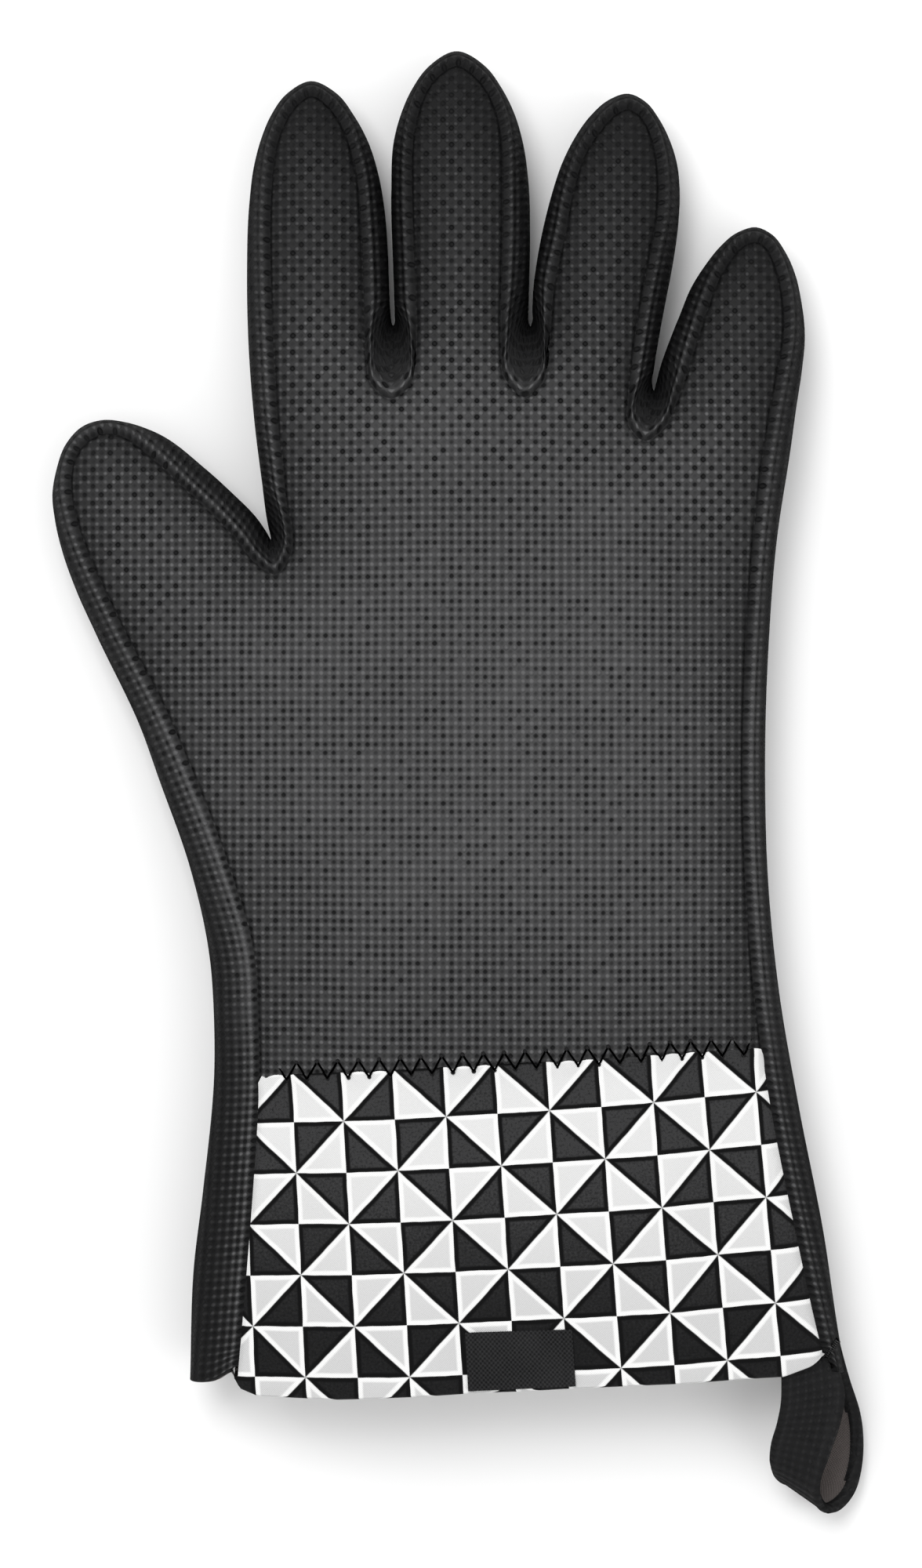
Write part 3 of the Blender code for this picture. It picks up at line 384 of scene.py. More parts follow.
class Nodes:
    """Short calls for building a node tree."""

    def __init__(self, tree):
        self.tree = tree

    def node(self, kind, **values):
        n = self.tree.nodes.new(kind)
        for key, value in values.items():
            setattr(n, key, value)
        return n

    def put(self, socket, value):
        if isinstance(value, bpy.types.NodeSocket):
            self.tree.links.new(value, socket)
        elif value is not None:
            socket.default_value = value

    def math(self, operation, a, b=None, c=None, clamp=False):
        n = self.node("ShaderNodeMath", operation=operation, use_clamp=clamp)
        for socket, value in zip(n.inputs, (a, b, c)):
            self.put(socket, value)
        return n.outputs[0]

    def mix(self, factor, a, b, blend="MIX"):
        n = self.node("ShaderNodeMix", data_type="RGBA", blend_type=blend)
        self.put(n.inputs[0], factor)
        for socket, value in ((n.inputs[6], a), (n.inputs[7], b)):
            if isinstance(value, tuple) and len(value) == 3:
                value = (*value, 1.0)
            self.put(socket, value)
        return n.outputs[2]

    def blend(self, factor, a, b):
        n = self.node("ShaderNodeMix", data_type="FLOAT")
        self.put(n.inputs[0], factor)
        self.put(n.inputs[2], a)
        self.put(n.inputs[3], b)
        return n.outputs[0]

    def noise(self, vector, scale, detail=3.0, rough=0.5):
        n = self.node("ShaderNodeTexNoise")
        self.put(n.inputs["Vector"], vector)
        n.inputs["Scale"].default_value = scale
        n.inputs["Detail"].default_value = detail
        n.inputs["Roughness"].default_value = rough
        return n.outputs["Fac"]

    def uv(self):
        n = self.node("ShaderNodeUVMap")
        n.uv_map = "UVMap"
        s = self.node("ShaderNodeSeparateXYZ")
        self.tree.links.new(n.outputs[0], s.inputs[0])
        return s.outputs[0], s.outputs[1], n.outputs[0]

    def bump(self, height, distance, strength=1.0, normal=None):
        n = self.node("ShaderNodeBump")
        self.put(n.inputs["Height"], height)
        n.inputs["Distance"].default_value = distance
        n.inputs["Strength"].default_value = strength
        if normal is not None:
            self.put(n.inputs["Normal"], normal)
        return n.outputs[0]


TAU = 2 * math.pi


def silicone(name, low, high, strength=1.0, rough=0.62):
    """Coated sheet with a square grid of raised dots; the coordinates count grid cells."""
    mat, tree, shader = new_material(name)
    g = Nodes(tree)
    u, v, uv = g.uv()
    cu = g.math("COSINE", g.math("MULTIPLY", u, TAU))
    cv = g.math("COSINE", g.math("MULTIPLY", v, TAU))
    wave = g.math("MULTIPLY_ADD", g.math("ADD", cu, cv), 0.25, 0.5)
    fine = g.noise(uv, 3.1, 2.0, 0.6)
    uneven = g.noise(uv, 0.9, 2.0, 0.5)
    wave = g.math("ADD", wave, g.math("MULTIPLY_ADD", uneven, 0.26, -0.13))
    cell = g.node("ShaderNodeCombineXYZ")
    g.put(cell.inputs[0], g.math("FLOOR", g.math("ADD", u, 0.5)))
    g.put(cell.inputs[1], g.math("FLOOR", g.math("ADD", v, 0.5)))
    chance = g.node("ShaderNodeTexWhiteNoise", noise_dimensions="2D")
    g.put(chance.inputs["Vector"], cell.outputs[0])
    hollow = g.node("ShaderNodeCombineXYZ")
    g.put(hollow.inputs[0], g.math("FLOOR", u))
    g.put(hollow.inputs[1], g.math("FLOOR", v))
    chance2 = g.node("ShaderNodeTexWhiteNoise", noise_dimensions="2D")
    g.put(chance2.inputs["Vector"], hollow.outputs[0])
    knob = g.math("POWER", g.math("MULTIPLY_ADD", wave, 2.7, -1.62, clamp=True), 0.8)
    knob = g.math("MULTIPLY", knob, g.math("MULTIPLY_ADD", chance.outputs["Value"], 0.90, 0.62))
    # every other hollow is deeper, like a chequerboard, and most so where the sheet is stretched over a finger
    knit = g.node("ShaderNodeAttribute")
    knit.attribute_name = "knit"
    half_u = g.math("SINE", g.math("MULTIPLY", u, TAU / 2))
    half_v = g.math("SINE", g.math("MULTIPLY", v, TAU / 2))
    chequer = g.math("MULTIPLY", g.math("MULTIPLY", half_u, half_v), knit.outputs["Fac"])
    chequer = g.math("MULTIPLY", chequer, g.math("MULTIPLY_ADD", g.noise(uv, 0.47, 3.0, 0.6), 2.4, -0.45))
    deep = g.math("SUBTRACT", wave, g.math("MULTIPLY", chequer, 0.15))
    pit = g.math("POWER", g.math("MULTIPLY_ADD", deep, -2.5, 1.0, clamp=True), 0.7)
    pit = g.math("MULTIPLY", pit, g.math("MULTIPLY_ADD", chance2.outputs["Value"], 0.8, 0.52))
    pit = g.math("MULTIPLY", pit, g.math("ADD", chequer, 1.0))
    cloud = g.noise(uv, 0.055, 4.0, 0.55)
    wear = g.noise(uv, 0.35, 3.0, 0.6)
    # painted light and shade: this attribute holds the painted shading that scales the coating's colour below
    shading_attribute = g.node("ShaderNodeAttribute")
    shading_attribute.attribute_name = "painted_shading"
    painted_shading = shading_attribute.outputs["Fac"]
    calm = g.node("ShaderNodeAttribute")
    calm.attribute_name = "dot_contrast"
    contrast = g.math("MULTIPLY", g.math("MULTIPLY_ADD", painted_shading, -0.45, 1.20), calm.outputs["Fac"])
    # painted highlight and shade on the dots: the knobs are painted lighter and the hollows darker in the colour
    tone = g.math("MULTIPLY_ADD", g.math("MULTIPLY", knob, contrast), 1.22, 0.58)
    tone = g.math("MAXIMUM", g.math("SUBTRACT", tone, g.math("MULTIPLY", g.math("MULTIPLY", pit, contrast), 0.66)), 0.02)
    tone = g.math("MULTIPLY", tone, g.math("MULTIPLY_ADD", cloud, 0.24, 0.88))
    tone = g.math("MULTIPLY", tone, g.math("MULTIPLY_ADD", fine, 0.30, 0.85))
    tone = g.math("MULTIPLY", tone, painted_shading)
    colour = g.mix(tone, low, high)
    dots = g.math("SUBTRACT", knob, g.math("MULTIPLY", pit, 0.6))
    # painted shade: the colour is painted darker where the surface turns away from the view
    facing = g.node("ShaderNodeLayerWeight")
    facing.inputs["Blend"].default_value = 0.42
    edge = g.math("POWER", facing.outputs["Facing"], 1.8)
    colour = g.mix(g.math("MULTIPLY", edge, 0.85), colour, (low[0] * 0.4, low[1] * 0.4, low[2] * 0.4))
    g.put(shader.inputs["Base Color"], colour)
    g.put(shader.inputs["Roughness"], g.math("MULTIPLY_ADD", wear, 0.22, rough - 0.11))
    g.put(shader.inputs["Specular IOR Level"], g.math("MULTIPLY_ADD", edge, -0.14, 0.10, clamp=True))
    height = g.math("ADD", g.math("MULTIPLY", dots, 1.0), g.math("MULTIPLY", fine, 0.10))
    g.put(shader.inputs["Normal"], g.bump(height, 0.00042 * strength, 1.0))
    return mat


def cotton_print(name):
    """Plain-weave cotton with the pinwheel print: each grid square is cut on a diagonal that turns round the corners."""
    mat, tree, shader = new_material(name)
    g = Nodes(tree)
    u0, v0, uv = g.uv()
    wob = g.noise(uv, 1.7, 2.0)
    u = g.math("ADD", u0, g.math("MULTIPLY_ADD", wob, 0.03, -0.015))
    v = g.math("ADD", v0, g.math("MULTIPLY_ADD", g.noise(uv, 2.3, 2.0), 0.03, -0.015))
    fu, fv = g.math("FRACT", u), g.math("FRACT", v)
    pi = g.math("MODULO", g.math("FLOOR", u), 2.0)
    pj = g.math("MODULO", g.math("FLOOR", v), 2.0)
    odd = g.math("ABSOLUTE", g.math("SUBTRACT", pi, pj))
    soft = 42.0
    lower = g.math("MULTIPLY_ADD", g.math("SUBTRACT", fu, fv), soft, 0.5, clamp=True)
    upper = g.math("MULTIPLY_ADD", g.math("SUBTRACT", g.math("ADD", fu, fv), 1.0), soft, 0.5, clamp=True)
    first = g.math("ABSOLUTE", g.math("SUBTRACT", lower, pi))
    second = g.math("SUBTRACT", 1.0, g.math("ABSOLUTE", g.math("SUBTRACT", upper, pi)))
    black = g.blend(odd, first, second)
    # each triangle has a full-strength border and a weaker middle
    du = g.math("MINIMUM", fu, g.math("SUBTRACT", 1.0, fu))
    dv = g.math("MINIMUM", fv, g.math("SUBTRACT", 1.0, fv))
    near = g.math("MINIMUM", du, dv)
    seam_a = g.math("ABSOLUTE", g.math("SUBTRACT", fu, fv))
    seam_b = g.math("ABSOLUTE", g.math("SUBTRACT", g.math("ADD", fu, fv), 1.0))
    diagonal = g.math("MULTIPLY", g.blend(odd, seam_a, seam_b), 0.7)
    near = g.math("MINIMUM", near, diagonal)
    middle = g.math("MULTIPLY_ADD", near, 26.0, -1.75, clamp=True)
    line = g.math("SUBTRACT", 1.0, g.math("MULTIPLY_ADD", near, 55.0, 0.0, clamp=True))
    # woven threads
    weave_u = g.math("SINE", g.math("MULTIPLY", u0, TAU * 22.0))
    weave_v = g.math("SINE", g.math("MULTIPLY", v0, TAU * 22.0))
    weave = g.math("MULTIPLY_ADD", g.math("MULTIPLY", weave_u, weave_v), 0.5, 0.5)
    slub = g.noise(uv, 9.0, 3.0, 0.65)
    blotch = g.noise(uv, 0.55, 3.0)
    # painted light and shade: this attribute makes the grey middles of the white triangles and the paler middles of the
    # black triangles lighter towards the top of the cuff
    cuff_shading_attribute = g.node("ShaderNodeAttribute")
    cuff_shading_attribute.attribute_name = "painted_shading"
    painted_top_light = cuff_shading_attribute.outputs["Fac"]
    white = g.mix(g.math("MULTIPLY", middle, g.math("MULTIPLY_ADD", painted_top_light, -0.45, 1.0)), (0.86, 0.86, 0.855), (0.60, 0.60, 0.60))
    paleness = g.math("MULTIPLY", middle, g.math("MULTIPLY_ADD", painted_top_light, 0.75, 0.20))
    paleness = g.math("MULTIPLY", paleness, g.math("MULTIPLY_ADD", blotch, 0.8, 0.6))
    paleness = g.math("MULTIPLY", paleness, g.math("MULTIPLY_ADD", g.noise(uv, 21.0, 2.0, 0.7), 3.2, -0.6))
    ink = g.mix(paleness, (0.0045, 0.0045, 0.0047), (0.040, 0.040, 0.041))
    colour = g.mix(black, white, ink)
    colour = g.mix(g.math("MULTIPLY", line, 0.12), colour, (0.20, 0.20, 0.20))
    grey = g.node("ShaderNodeCombineColor")
    tone = g.math("MULTIPLY_ADD", weave, 0.10, 0.92)
    for socket in grey.inputs:
        g.put(socket, tone)
    colour = g.mix(1.0, colour, grey.outputs[0], "MULTIPLY")
    g.put(shader.inputs["Base Color"], colour)
    g.put(shader.inputs["Roughness"], g.math("MULTIPLY_ADD", slub, 0.15, 0.78))
    shader.inputs["Specular IOR Level"].default_value = 0.07
    shader.inputs["Sheen Weight"].default_value = 0.03
    height = g.math("ADD", weave, g.math("MULTIPLY", slub, 0.6))
    g.put(shader.inputs["Normal"], g.bump(height, 0.00012, 0.8))
    return mat


def woven(name, dark, light, cells=1.6, sheen=0.3, relief=0.00025, contrast=1.0):
    """Brushed woven cloth; the coordinates are in millimetres."""
    mat, tree, shader = new_material(name)
    g = Nodes(tree)
    u, v, uv = g.uv()
    wu = g.math("SINE", g.math("MULTIPLY", u, TAU * cells))
    wv = g.math("SINE", g.math("MULTIPLY", v, TAU * cells))
    weave = g.math("MULTIPLY_ADD", g.math("MULTIPLY", wu, wv), 0.5, 0.5)
    nap = g.noise(uv, 1.4, 5.0, 0.7)
    blotch = g.noise(uv, 0.06, 3.0)
    factor = g.math("ADD", g.math("MULTIPLY", weave, 0.35), g.math("ADD", g.math("MULTIPLY", nap, 0.45), g.math("MULTIPLY", blotch, 0.3)))
    factor = g.math("MULTIPLY_ADD", factor, contrast, 0.55 * (1 - contrast), clamp=True)
    g.put(shader.inputs["Base Color"], g.mix(factor, dark, light))
    g.put(shader.inputs["Roughness"], g.math("MULTIPLY_ADD", nap, 0.15, 0.80))
    shader.inputs["Specular IOR Level"].default_value = 0.08
    shader.inputs["Sheen Weight"].default_value = sheen
    g.put(shader.inputs["Normal"], g.bump(g.math("ADD", weave, nap), relief, 0.8))
    return mat


def thread(name, dark, light):
    """Twisted polyester thread; u runs along it in millimetres, v round it."""
    mat, tree, shader = new_material(name)
    g = Nodes(tree)
    u, v, uv = g.uv()
    twist = g.math("SINE", g.math("MULTIPLY", g.math("ADD", g.math("MULTIPLY", u, 1.3), v), TAU))
    ply = g.math("MULTIPLY_ADD", twist, 0.5, 0.5)
    g.put(shader.inputs["Base Color"], g.mix(ply, dark, light))
    g.put(shader.inputs["Roughness"], g.math("MULTIPLY_ADD", ply, -0.15, 0.62))
    shader.inputs["Specular IOR Level"].default_value = 0.12
    g.put(shader.inputs["Normal"], g.bump(ply, 0.0001, 1.0))
    return mat


SHELL = silicone("silicone_shell", (0.0045, 0.0045, 0.0048), (0.108, 0.108, 0.110))
STRIP = silicone("silicone_strip", (0.0040, 0.0040, 0.0043), (0.100, 0.100, 0.102))
TAPE = silicone("silicone_tape", (0.0034, 0.0034, 0.0037), (0.0155, 0.0155, 0.016), 0.7)
PRINT = cotton_print("cuff_print")
LINING = woven("cotton_lining", (0.075, 0.066, 0.061), (0.21, 0.19, 0.18))
LINING_ROLL = woven("cotton_lining_fold", (0.075, 0.066, 0.061), (0.21, 0.19, 0.18), 18.0)
TAPE_BACK = woven("tape_backing", (0.066, 0.057, 0.054), (0.135, 0.118, 0.113), 3.0, 0.08)
LABEL = woven("label_weave", (0.003, 0.003, 0.0033), (0.031, 0.031, 0.032), 0.8, 0.03, 0.0003, 2.4)
THREAD = thread("stitch_thread", (0.004, 0.004, 0.004), (0.022, 0.022, 0.023))

# ---- stations round the edge -------------------------------------------------------------------------------------------
PITCH = 2.1


def crossing(kind, name, offset, near):
    """Curve position where the outline (0) or seam (2) crosses a joint line."""
    t = np.linspace(KNOTS[0], KNOTS[-1], 3000)
    g = ahead_of(path(t)[:, kind : kind + 2], name) - offset
    hits = np.nonzero(g[:-1] * g[1:] <= 0)[0]
    at = t[hits] + (t[hits + 1] - t[hits]) * g[hits] / (g[hits] - g[hits + 1] + 1e-12)
    return float(at[np.argmin(np.abs(at - near))])


def stations(step):
    return np.linspace(KNOTS[0], KNOTS[-1], int(round((KNOTS[-1] - KNOTS[0]) / step)) + 1)


def section_of(xy, turn=None):
    """Which stretch of the glove a point belongs to.  turn is the curve position, for points on the side strips."""
    x, y = xy[:, 0], xy[:, 1]
    out = np.full(len(xy), "hand", dtype=object)
    out[ahead_of(xy, "wrist") > -1.2] = "cuff"
    p, n = LINES["thumb"]
    s = ahead_of(xy, "thumb")
    lateral = (xy - p) @ np.array([n[1], -n[0]])
    on_thumb = (s > -2.3) & (lateral < 0.5 * s + 2.0) & (y > 120)
    if turn is not None:
        on_thumb &= turn < knot(2)
    q, m = THUMB_SPLIT
    out[on_thumb] = "thumb_base"
    out[on_thumb & ((xy - q) @ np.array(m) > 0)] = "thumb_tip"
    if turn is None:
        which = np.where(x < -30.8, 0, np.where(x < 4.3, 1, np.where(x - 35.6 < 0.2 * (y - 255.0), 2, 3)))
    else:
        which = np.where(turn < knot(4), 0, np.where(turn < knot(6), 1, np.where(turn < knot(8), 2, 3)))
    for k, f in enumerate(("index", "middle", "ring", "little")):
        s = ahead_of(xy, f)
        here = (which == k) & (s > -3.0) & (y > 235) & ~on_thumb
        out[here] = f + "_base"
        out[here & (s > SPLIT[f])] = f + "_tip"
    return out


def strip_surface(ts, levels, inset=0.0, relief=True):
    """Side strip round the whole glove: front seam, over the outline, to the back seam."""
    rows = path(ts)
    outer, seam = rows[:, :2], rows[:, 2:]
    reach = np.hypot(*(seam - outer).T)
    to_seam = (seam - outer) / reach[:, None]
    points, across = [], []
    fractions = [(f, 1) for f in levels] + [(0.0, 0)] + [(f, -1) for f in levels[::-1]]
    for f, side in fractions:
        xy = outer + to_seam * (inset + (reach - inset) * f)[:, None]
        if side == 0:
            z = mid_height(xy)
        else:
            d = to_polyline(xy, BORDER)
            z = pillow(xy, side, np.maximum(d, inset + 0.02), inset)
        points.append(np.column_stack([xy, z]))
        across.append(reach * (1 - f) if side >= 0 else reach * (1 + f))
    points, across = np.stack(points, 1), np.stack(across, 1)
    spread = np.abs(across / reach[:, None] - 1)
    for row, end in ((ts - KNOTS[0], KNOTS[0]), (KNOTS[-1] - ts, KNOTS[-1])):
        pull = 2.6 * smooth((spread - 0.25) / 0.75) ** 1.5 * (1 - smooth(row / 9.0))[:, None]
        points[..., 1] += pull
    return points, across, reach


def grid_tris(n, m):
    k = np.arange(n - 1)[:, None] * m + np.arange(m - 1)[None]
    k = k.ravel()
    return np.vstack([np.column_stack([k, k + 1, k + m + 1]), np.column_stack([k, k + m + 1, k + m])])


def follow(obj, section):
    """Fixes a piece of the hand to the hand's body; for any other stretch it works out where the bend over its joint
    starts and ends, but only bakes the piece's transform into its mesh.
    """
    pairs = {"cuff": ("hand", "cuff", "wrist"), "thumb_base": ("hand", "thumb_base", "thumb"),
             "thumb_tip": ("thumb_base", "thumb_tip", "thumb_tip")}
    for f in ("index", "middle", "ring", "little"):
        pairs[f + "_base"] = ("hand", f + "_base", f)
        pairs[f + "_tip"] = (f + "_base", f + "_tip", f + "_tip")
    if section == "hand":
        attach(obj, "hand")
        return
    a, b, name = pairs[section]
    p, n = LINES[name]
    n = np.array(n) / np.hypot(*n)
    s0, s1 = RAMPS[name]
    start, end = np.array(p) + n * s0, np.array(p) + n * s1
    start, end = (start - ORIGIN[:2]) * MM, (end - ORIGIN[:2]) * MM
    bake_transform(obj)


# ---- shell surface -----------------------------------------------------------------------------------------------------
STEP = 0.95
ts = stations(STEP)
LEVELS = [1.0, 0.955, 0.91, 0.86, 0.80, 0.73, 0.65, 0.56, 0.47, 0.38, 0.29, 0.21, 0.14, 0.08, 0.035, 0.01]
strip_pts, across, reach = strip_surface(ts, LEVELS)
m = strip_pts.shape[1]
centre = len(LEVELS)

seam_line = path(ts)[:, 2:]
wrist_l, wrist_r = crossing(2, "wrist", -0.1, knot(0, 3)), crossing(2, "wrist", -0.1, knot(10, 6))
i0, i1 = int(np.searchsorted(ts, wrist_l)), int(np.searchsorted(ts, wrist_r))


def inward_rings(line, offsets, sign=1.0):
    ahead = np.gradient(line, axis=0)
    for _ in range(3):
        ahead[1:-1] = (ahead[:-2] + 2 * ahead[1:-1] + ahead[2:]) / 4
    ahead /= np.hypot(*ahead.T)[:, None]
    side = np.column_stack([ahead[:, 1], -ahead[:, 0]])
    return [line + side * o * sign for o in offsets]


def lattice(low, high, step):
    xs = np.arange(math.floor(low[0] / step), math.ceil(high[0] / step) + 1) * step
    ys = np.arange(math.floor(low[1] / step), math.ceil(high[1] / step) + 1) * step
    return np.array(np.meshgrid(xs, ys)).reshape(2, -1).T


def panel_mesh(loop, ring_line, offsets, step, clear):
    rings = np.vstack(inward_rings(ring_line, offsets)) if offsets else np.zeros((0, 2))
    if len(rings):
        gap = to_polyline(rings, loop, True)
        rings = rings[within(rings, loop) & (gap > 0.25)]
    grid = lattice(loop.min(0), loop.max(0), step)
    grid = grid[within(grid, loop)]
    grid = grid[to_polyline(grid, loop, True) > clear]
    return fill(loop, np.vstack([rings, grid]))


shell_loop = list(seam_line[i0 : i1 + 1])
wide = seam_line[i0] - seam_line[i1]
count = int(np.hypot(*wide) / 1.05)
shell_loop += [seam_line[i1] + wide * k / count for k in range(1, count)]
shell_loop = np.array(shell_loop)
shell_xy, shell_tris = panel_mesh(shell_loop, seam_line[i0 : i1 + 1], (0.4, 0.85, 1.4, 2.1), 1.05, 2.7)
shell_d = to_polyline(shell_xy, BORDER)
shell_q = to_polyline(shell_xy, seam_line)


def panel_relief(q):
    """Sewn edge of a padded panel: a narrow groove at the seam and a soft swelling beyond it."""
    return -0.62 * np.exp(-((q / 0.55) ** 2)) + 0.45 * smooth(q / 3.2) * np.exp(-((q / 14.0) ** 2))


def strip_relief(s, reach):
    """Corded edge of a side strip next to the seam."""
    s = np.minimum(s, 2 * reach - s)
    return 0.85 * np.exp(-(((s - 1.6) / 1.0) ** 2)) - 0.70 * np.exp(-((s / 0.5) ** 2))


def dots(xy):
    return 0.11 * (np.cos(TAU * xy[:, 0] / PITCH) + np.cos(TAU * xy[:, 1] / PITCH)) * 0.5


def shell_side(side):
    """Points of the front or back panel, at the height of the padded surface."""
    z = pillow(shell_xy, side, shell_d)
    return np.column_stack([shell_xy, z])


panel_front, panel_back = shell_side(1), shell_side(-1)
n_panel = len(shell_xy)
flat = strip_pts.reshape(-1, 3)
strip_index = np.arange(len(ts) * m).reshape(len(ts), m) + 2 * n_panel
loop_rows = np.arange(i1 - i0 + 1)
base = np.vstack([panel_front, panel_back, flat])
weld = np.arange(len(base))
weld[strip_index[i0 : i1 + 1, 0]] = loop_rows
weld[strip_index[i0 : i1 + 1, -1]] = n_panel + loop_rows
base[loop_rows, 2] = strip_pts[i0 : i1 + 1, 0, 2]
base[n_panel + loop_rows, 2] = strip_pts[i0 : i1 + 1, -1, 2]
tris_front = shell_tris
tris_back = shell_tris[:, ::-1] + n_panel
tris_strip = weld[(grid_tris(len(ts), m)[:, ::-1]) + 2 * n_panel]
everything = np.vstack([tris_front, tris_back, tris_strip])
normals = vertex_normals(base, everything)
if normals[tris_strip[:, 0], 2].size and (normals[strip_index[len(ts) // 3, 2]][2] < 0):
    tris_strip = tris_strip[:, ::-1]
    everything = np.vstack([tris_front, tris_back, tris_strip])
    normals = vertex_normals(base, everything)
move = np.concatenate([panel_relief(shell_q), panel_relief(shell_q) * smooth((panel_back[:, 2] + 0.4) / 1.5),
                       strip_relief(across, reach[:, None]).ravel()])
shaped = base + normals * move[:, None]
shaped[:, 2] = np.maximum(shaped[:, 2], 0.0)
shade = vertex_normals(shaped, everything)
final = shaped.copy()
final[:n_panel] += shade[:n_panel] * dots(shell_xy)[:, None] * smooth((shell_q - 1.0) / 2.0)[:, None]
lift = dots(shell_xy) * smooth((shell_q - 1.0) / 2.0)
final[n_panel : 2 * n_panel] += shade[n_panel : 2 * n_panel] * lift[:, None]
final[:, 2] = np.maximum(final[:, 2], 0.0)

along = np.concatenate([[0], np.cumsum(np.hypot(*np.diff(0.5 * (path(ts)[:, :2] + seam_line), axis=0).T))])
cells = np.zeros((len(base), 2))
cells[:n_panel] = shell_xy / PITCH + 100
cells[n_panel : 2 * n_panel] = shell_xy / PITCH + 100
cells[2 * n_panel :, 0] = np.repeat(along, m) / PITCH
cells[2 * n_panel :, 1] = (across / PITCH).ravel() + 0.25

# strips and panels keep their own coordinates at the seam, so strip points there are used unwelded
strip_raw = (grid_tris(len(ts), m)) + 2 * n_panel
same = (tris_strip[0] == weld[strip_raw[0]]).all()
strip_own = strip_raw if same else strip_raw[:, ::-1]
final[2 * n_panel :] = final[weld[2 * n_panel :]]
shade[2 * n_panel :] = shade[weld[2 * n_panel :]]
shade_all, final_all = shade, final

THICK = 1.6
# painted light and shade: the coating's colour is painted paler on the middle of the palm and darker towards the edges,
# the fingertips, up the fingers, on the thumb side, towards the cuff and in the grooves along the seams, with a little
# random unevenness
all_xy = np.vstack([shell_xy, shell_xy, flat[:, :2]])
all_d = np.concatenate([shell_d, shell_d, to_polyline(flat[:, :2], BORDER)])
all_q = np.concatenate([shell_q, shell_q, np.full(len(flat), 3.0)])
painted_shading = 0.24 + 0.18 * smooth(all_d / 11.0) + 0.26 * smooth((all_d - 6.0) / 12.0) + 0.25 * smooth((all_d - 11.0) / 26.0)
for tip, amount in (((-51.6, 334), 0.66), ((-14.4, 342), 0.62), ((29, 331), 0.64), ((61.6, 297), 0.54), ((-110, 246), 0.12)):
    painted_shading *= 1 - amount * np.exp(-(np.hypot(*(all_xy - tip).T) / 32.0) ** 2)
up_finger = all_xy[:, 1] + 0.9 * np.maximum(0.0, all_xy[:, 0] - 30.0)
painted_shading *= 0.88 * (1 - 0.10 * smooth((up_finger - 190.0) / 50.0)) * (1 - 0.40 * smooth((up_finger - 244.0) / 50.0))
painted_shading *= 1 - 0.12 * smooth((-all_xy[:, 0] - 62.0) / 30.0) * smooth((all_xy[:, 1] - 140.0) / 50.0)
painted_shading *= 1 - 0.28 * smooth((140.0 - all_xy[:, 1]) / 60.0)
painted_shading *= 1 + 0.14 * np.exp(-(np.hypot(all_xy[:, 0] - 14.0, all_xy[:, 1] - 158.0) / 48.0) ** 2)
painted_shading *= 1 + 0.10 * ripple(all_xy[:, 0] * 0.7, all_xy[:, 1] * 0.7, 1.9)
painted_shading[: 2 * n_panel] *= 1 - 0.45 * np.exp(-(((all_q[: 2 * n_panel] - 0.2) / 0.95) ** 2))
# painted light and shade on the side strips: a painted highlight along the corded ridge beside the seam, painted shade
# in the seam groove, towards the outline and in the webs between the fingers, darker towards the cuff and lighter at
# mid height
to_edge = np.abs(np.minimum(across, 2 * reach[:, None] - across))
ridge = np.exp(-(((to_edge - 1.9) / 1.25) ** 2)) * np.where(across < reach[:, None], 1.0, 0.35)
outer = smooth((to_edge - 3.3) / (reach[:, None] * 0.75 - 1.5))
strip_tone = (1.24 + 1.05 * ridge) * (1 - 0.84 * outer) * (1 - 0.65 * np.exp(-((to_edge / 0.6) ** 2)))
web = smooth((reach - 6.4) / 3.0) * smooth((path(ts)[:, 1] - 195) / 15)
strip_tone *= 1 - 0.46 * web[:, None]
strip_tone *= 1 - 0.50 * web[:, None] * smooth((to_edge - 2.2) / 2.0)
strip_tone *= 1 - 0.45 * smooth((95.0 - path(ts)[:, 1]) / 50.0)[:, None]
strip_tone *= 1 + 0.30 * (smooth((path(ts)[:, 1] - 80.0) / 25.0) * smooth((200.0 - path(ts)[:, 1]) / 30.0))[:, None]
painted_shading[2 * n_panel :] *= strip_tone.ravel()
dot_contrast = np.ones(len(painted_shading))
# the dot pattern's contrast is lowered in the webs along with their painted shade, and raised towards the cuff
dot_contrast[2 * n_panel :] = 1 - 0.70 * np.repeat(web, m) * smooth((to_edge.ravel() - 2.4) / 2.0)
on_thumb = smooth((-all_xy[:, 0] - 66.0) / 32.0) * smooth((all_xy[:, 1] - 130.0) / 40.0)
knit = 0.10 + 0.60 * np.maximum(smooth((up_finger - 208.0) / 42.0), 0.75 * on_thumb)
dot_contrast[2 * n_panel :] *= np.repeat(1 + 0.8 * smooth((95.0 - path(ts)[:, 1]) / 40.0), m)
painted_shading = np.vstack([painted_shading, dot_contrast, knit])
STRIP_NAMES = {
    "hand": None, "cuff": None,
}


def emit(name, tris, section, nodes, material, thickness=THICK):
    if not len(tris):
        return None
    obj = thick(name, final_all, shade_all, cells, tris, thickness, material, painted_shading)
    follow(obj, section)
    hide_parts(*nodes)
    return obj


centres = final_all[tris_front].mean(1)[:, :2]
labels = section_of(centres)
labels[labels == "cuff"] = "hand"
names = {"hand": ("palm_panel", "back_panel")}
for f in ("thumb", "index", "middle", "ring", "little"):
    for part in ("base", "tip"):
        names[f"{f}_{part}"] = (f"{f}_{part}_front", f"{f}_{part}_back")
for section, (front, back) in names.items():
    pick = labels == section
    emit("shell_" + front, tris_front[pick], section, [front], SHELL)
    emit("shell_" + back, tris_back[pick], section, [back], SHELL)

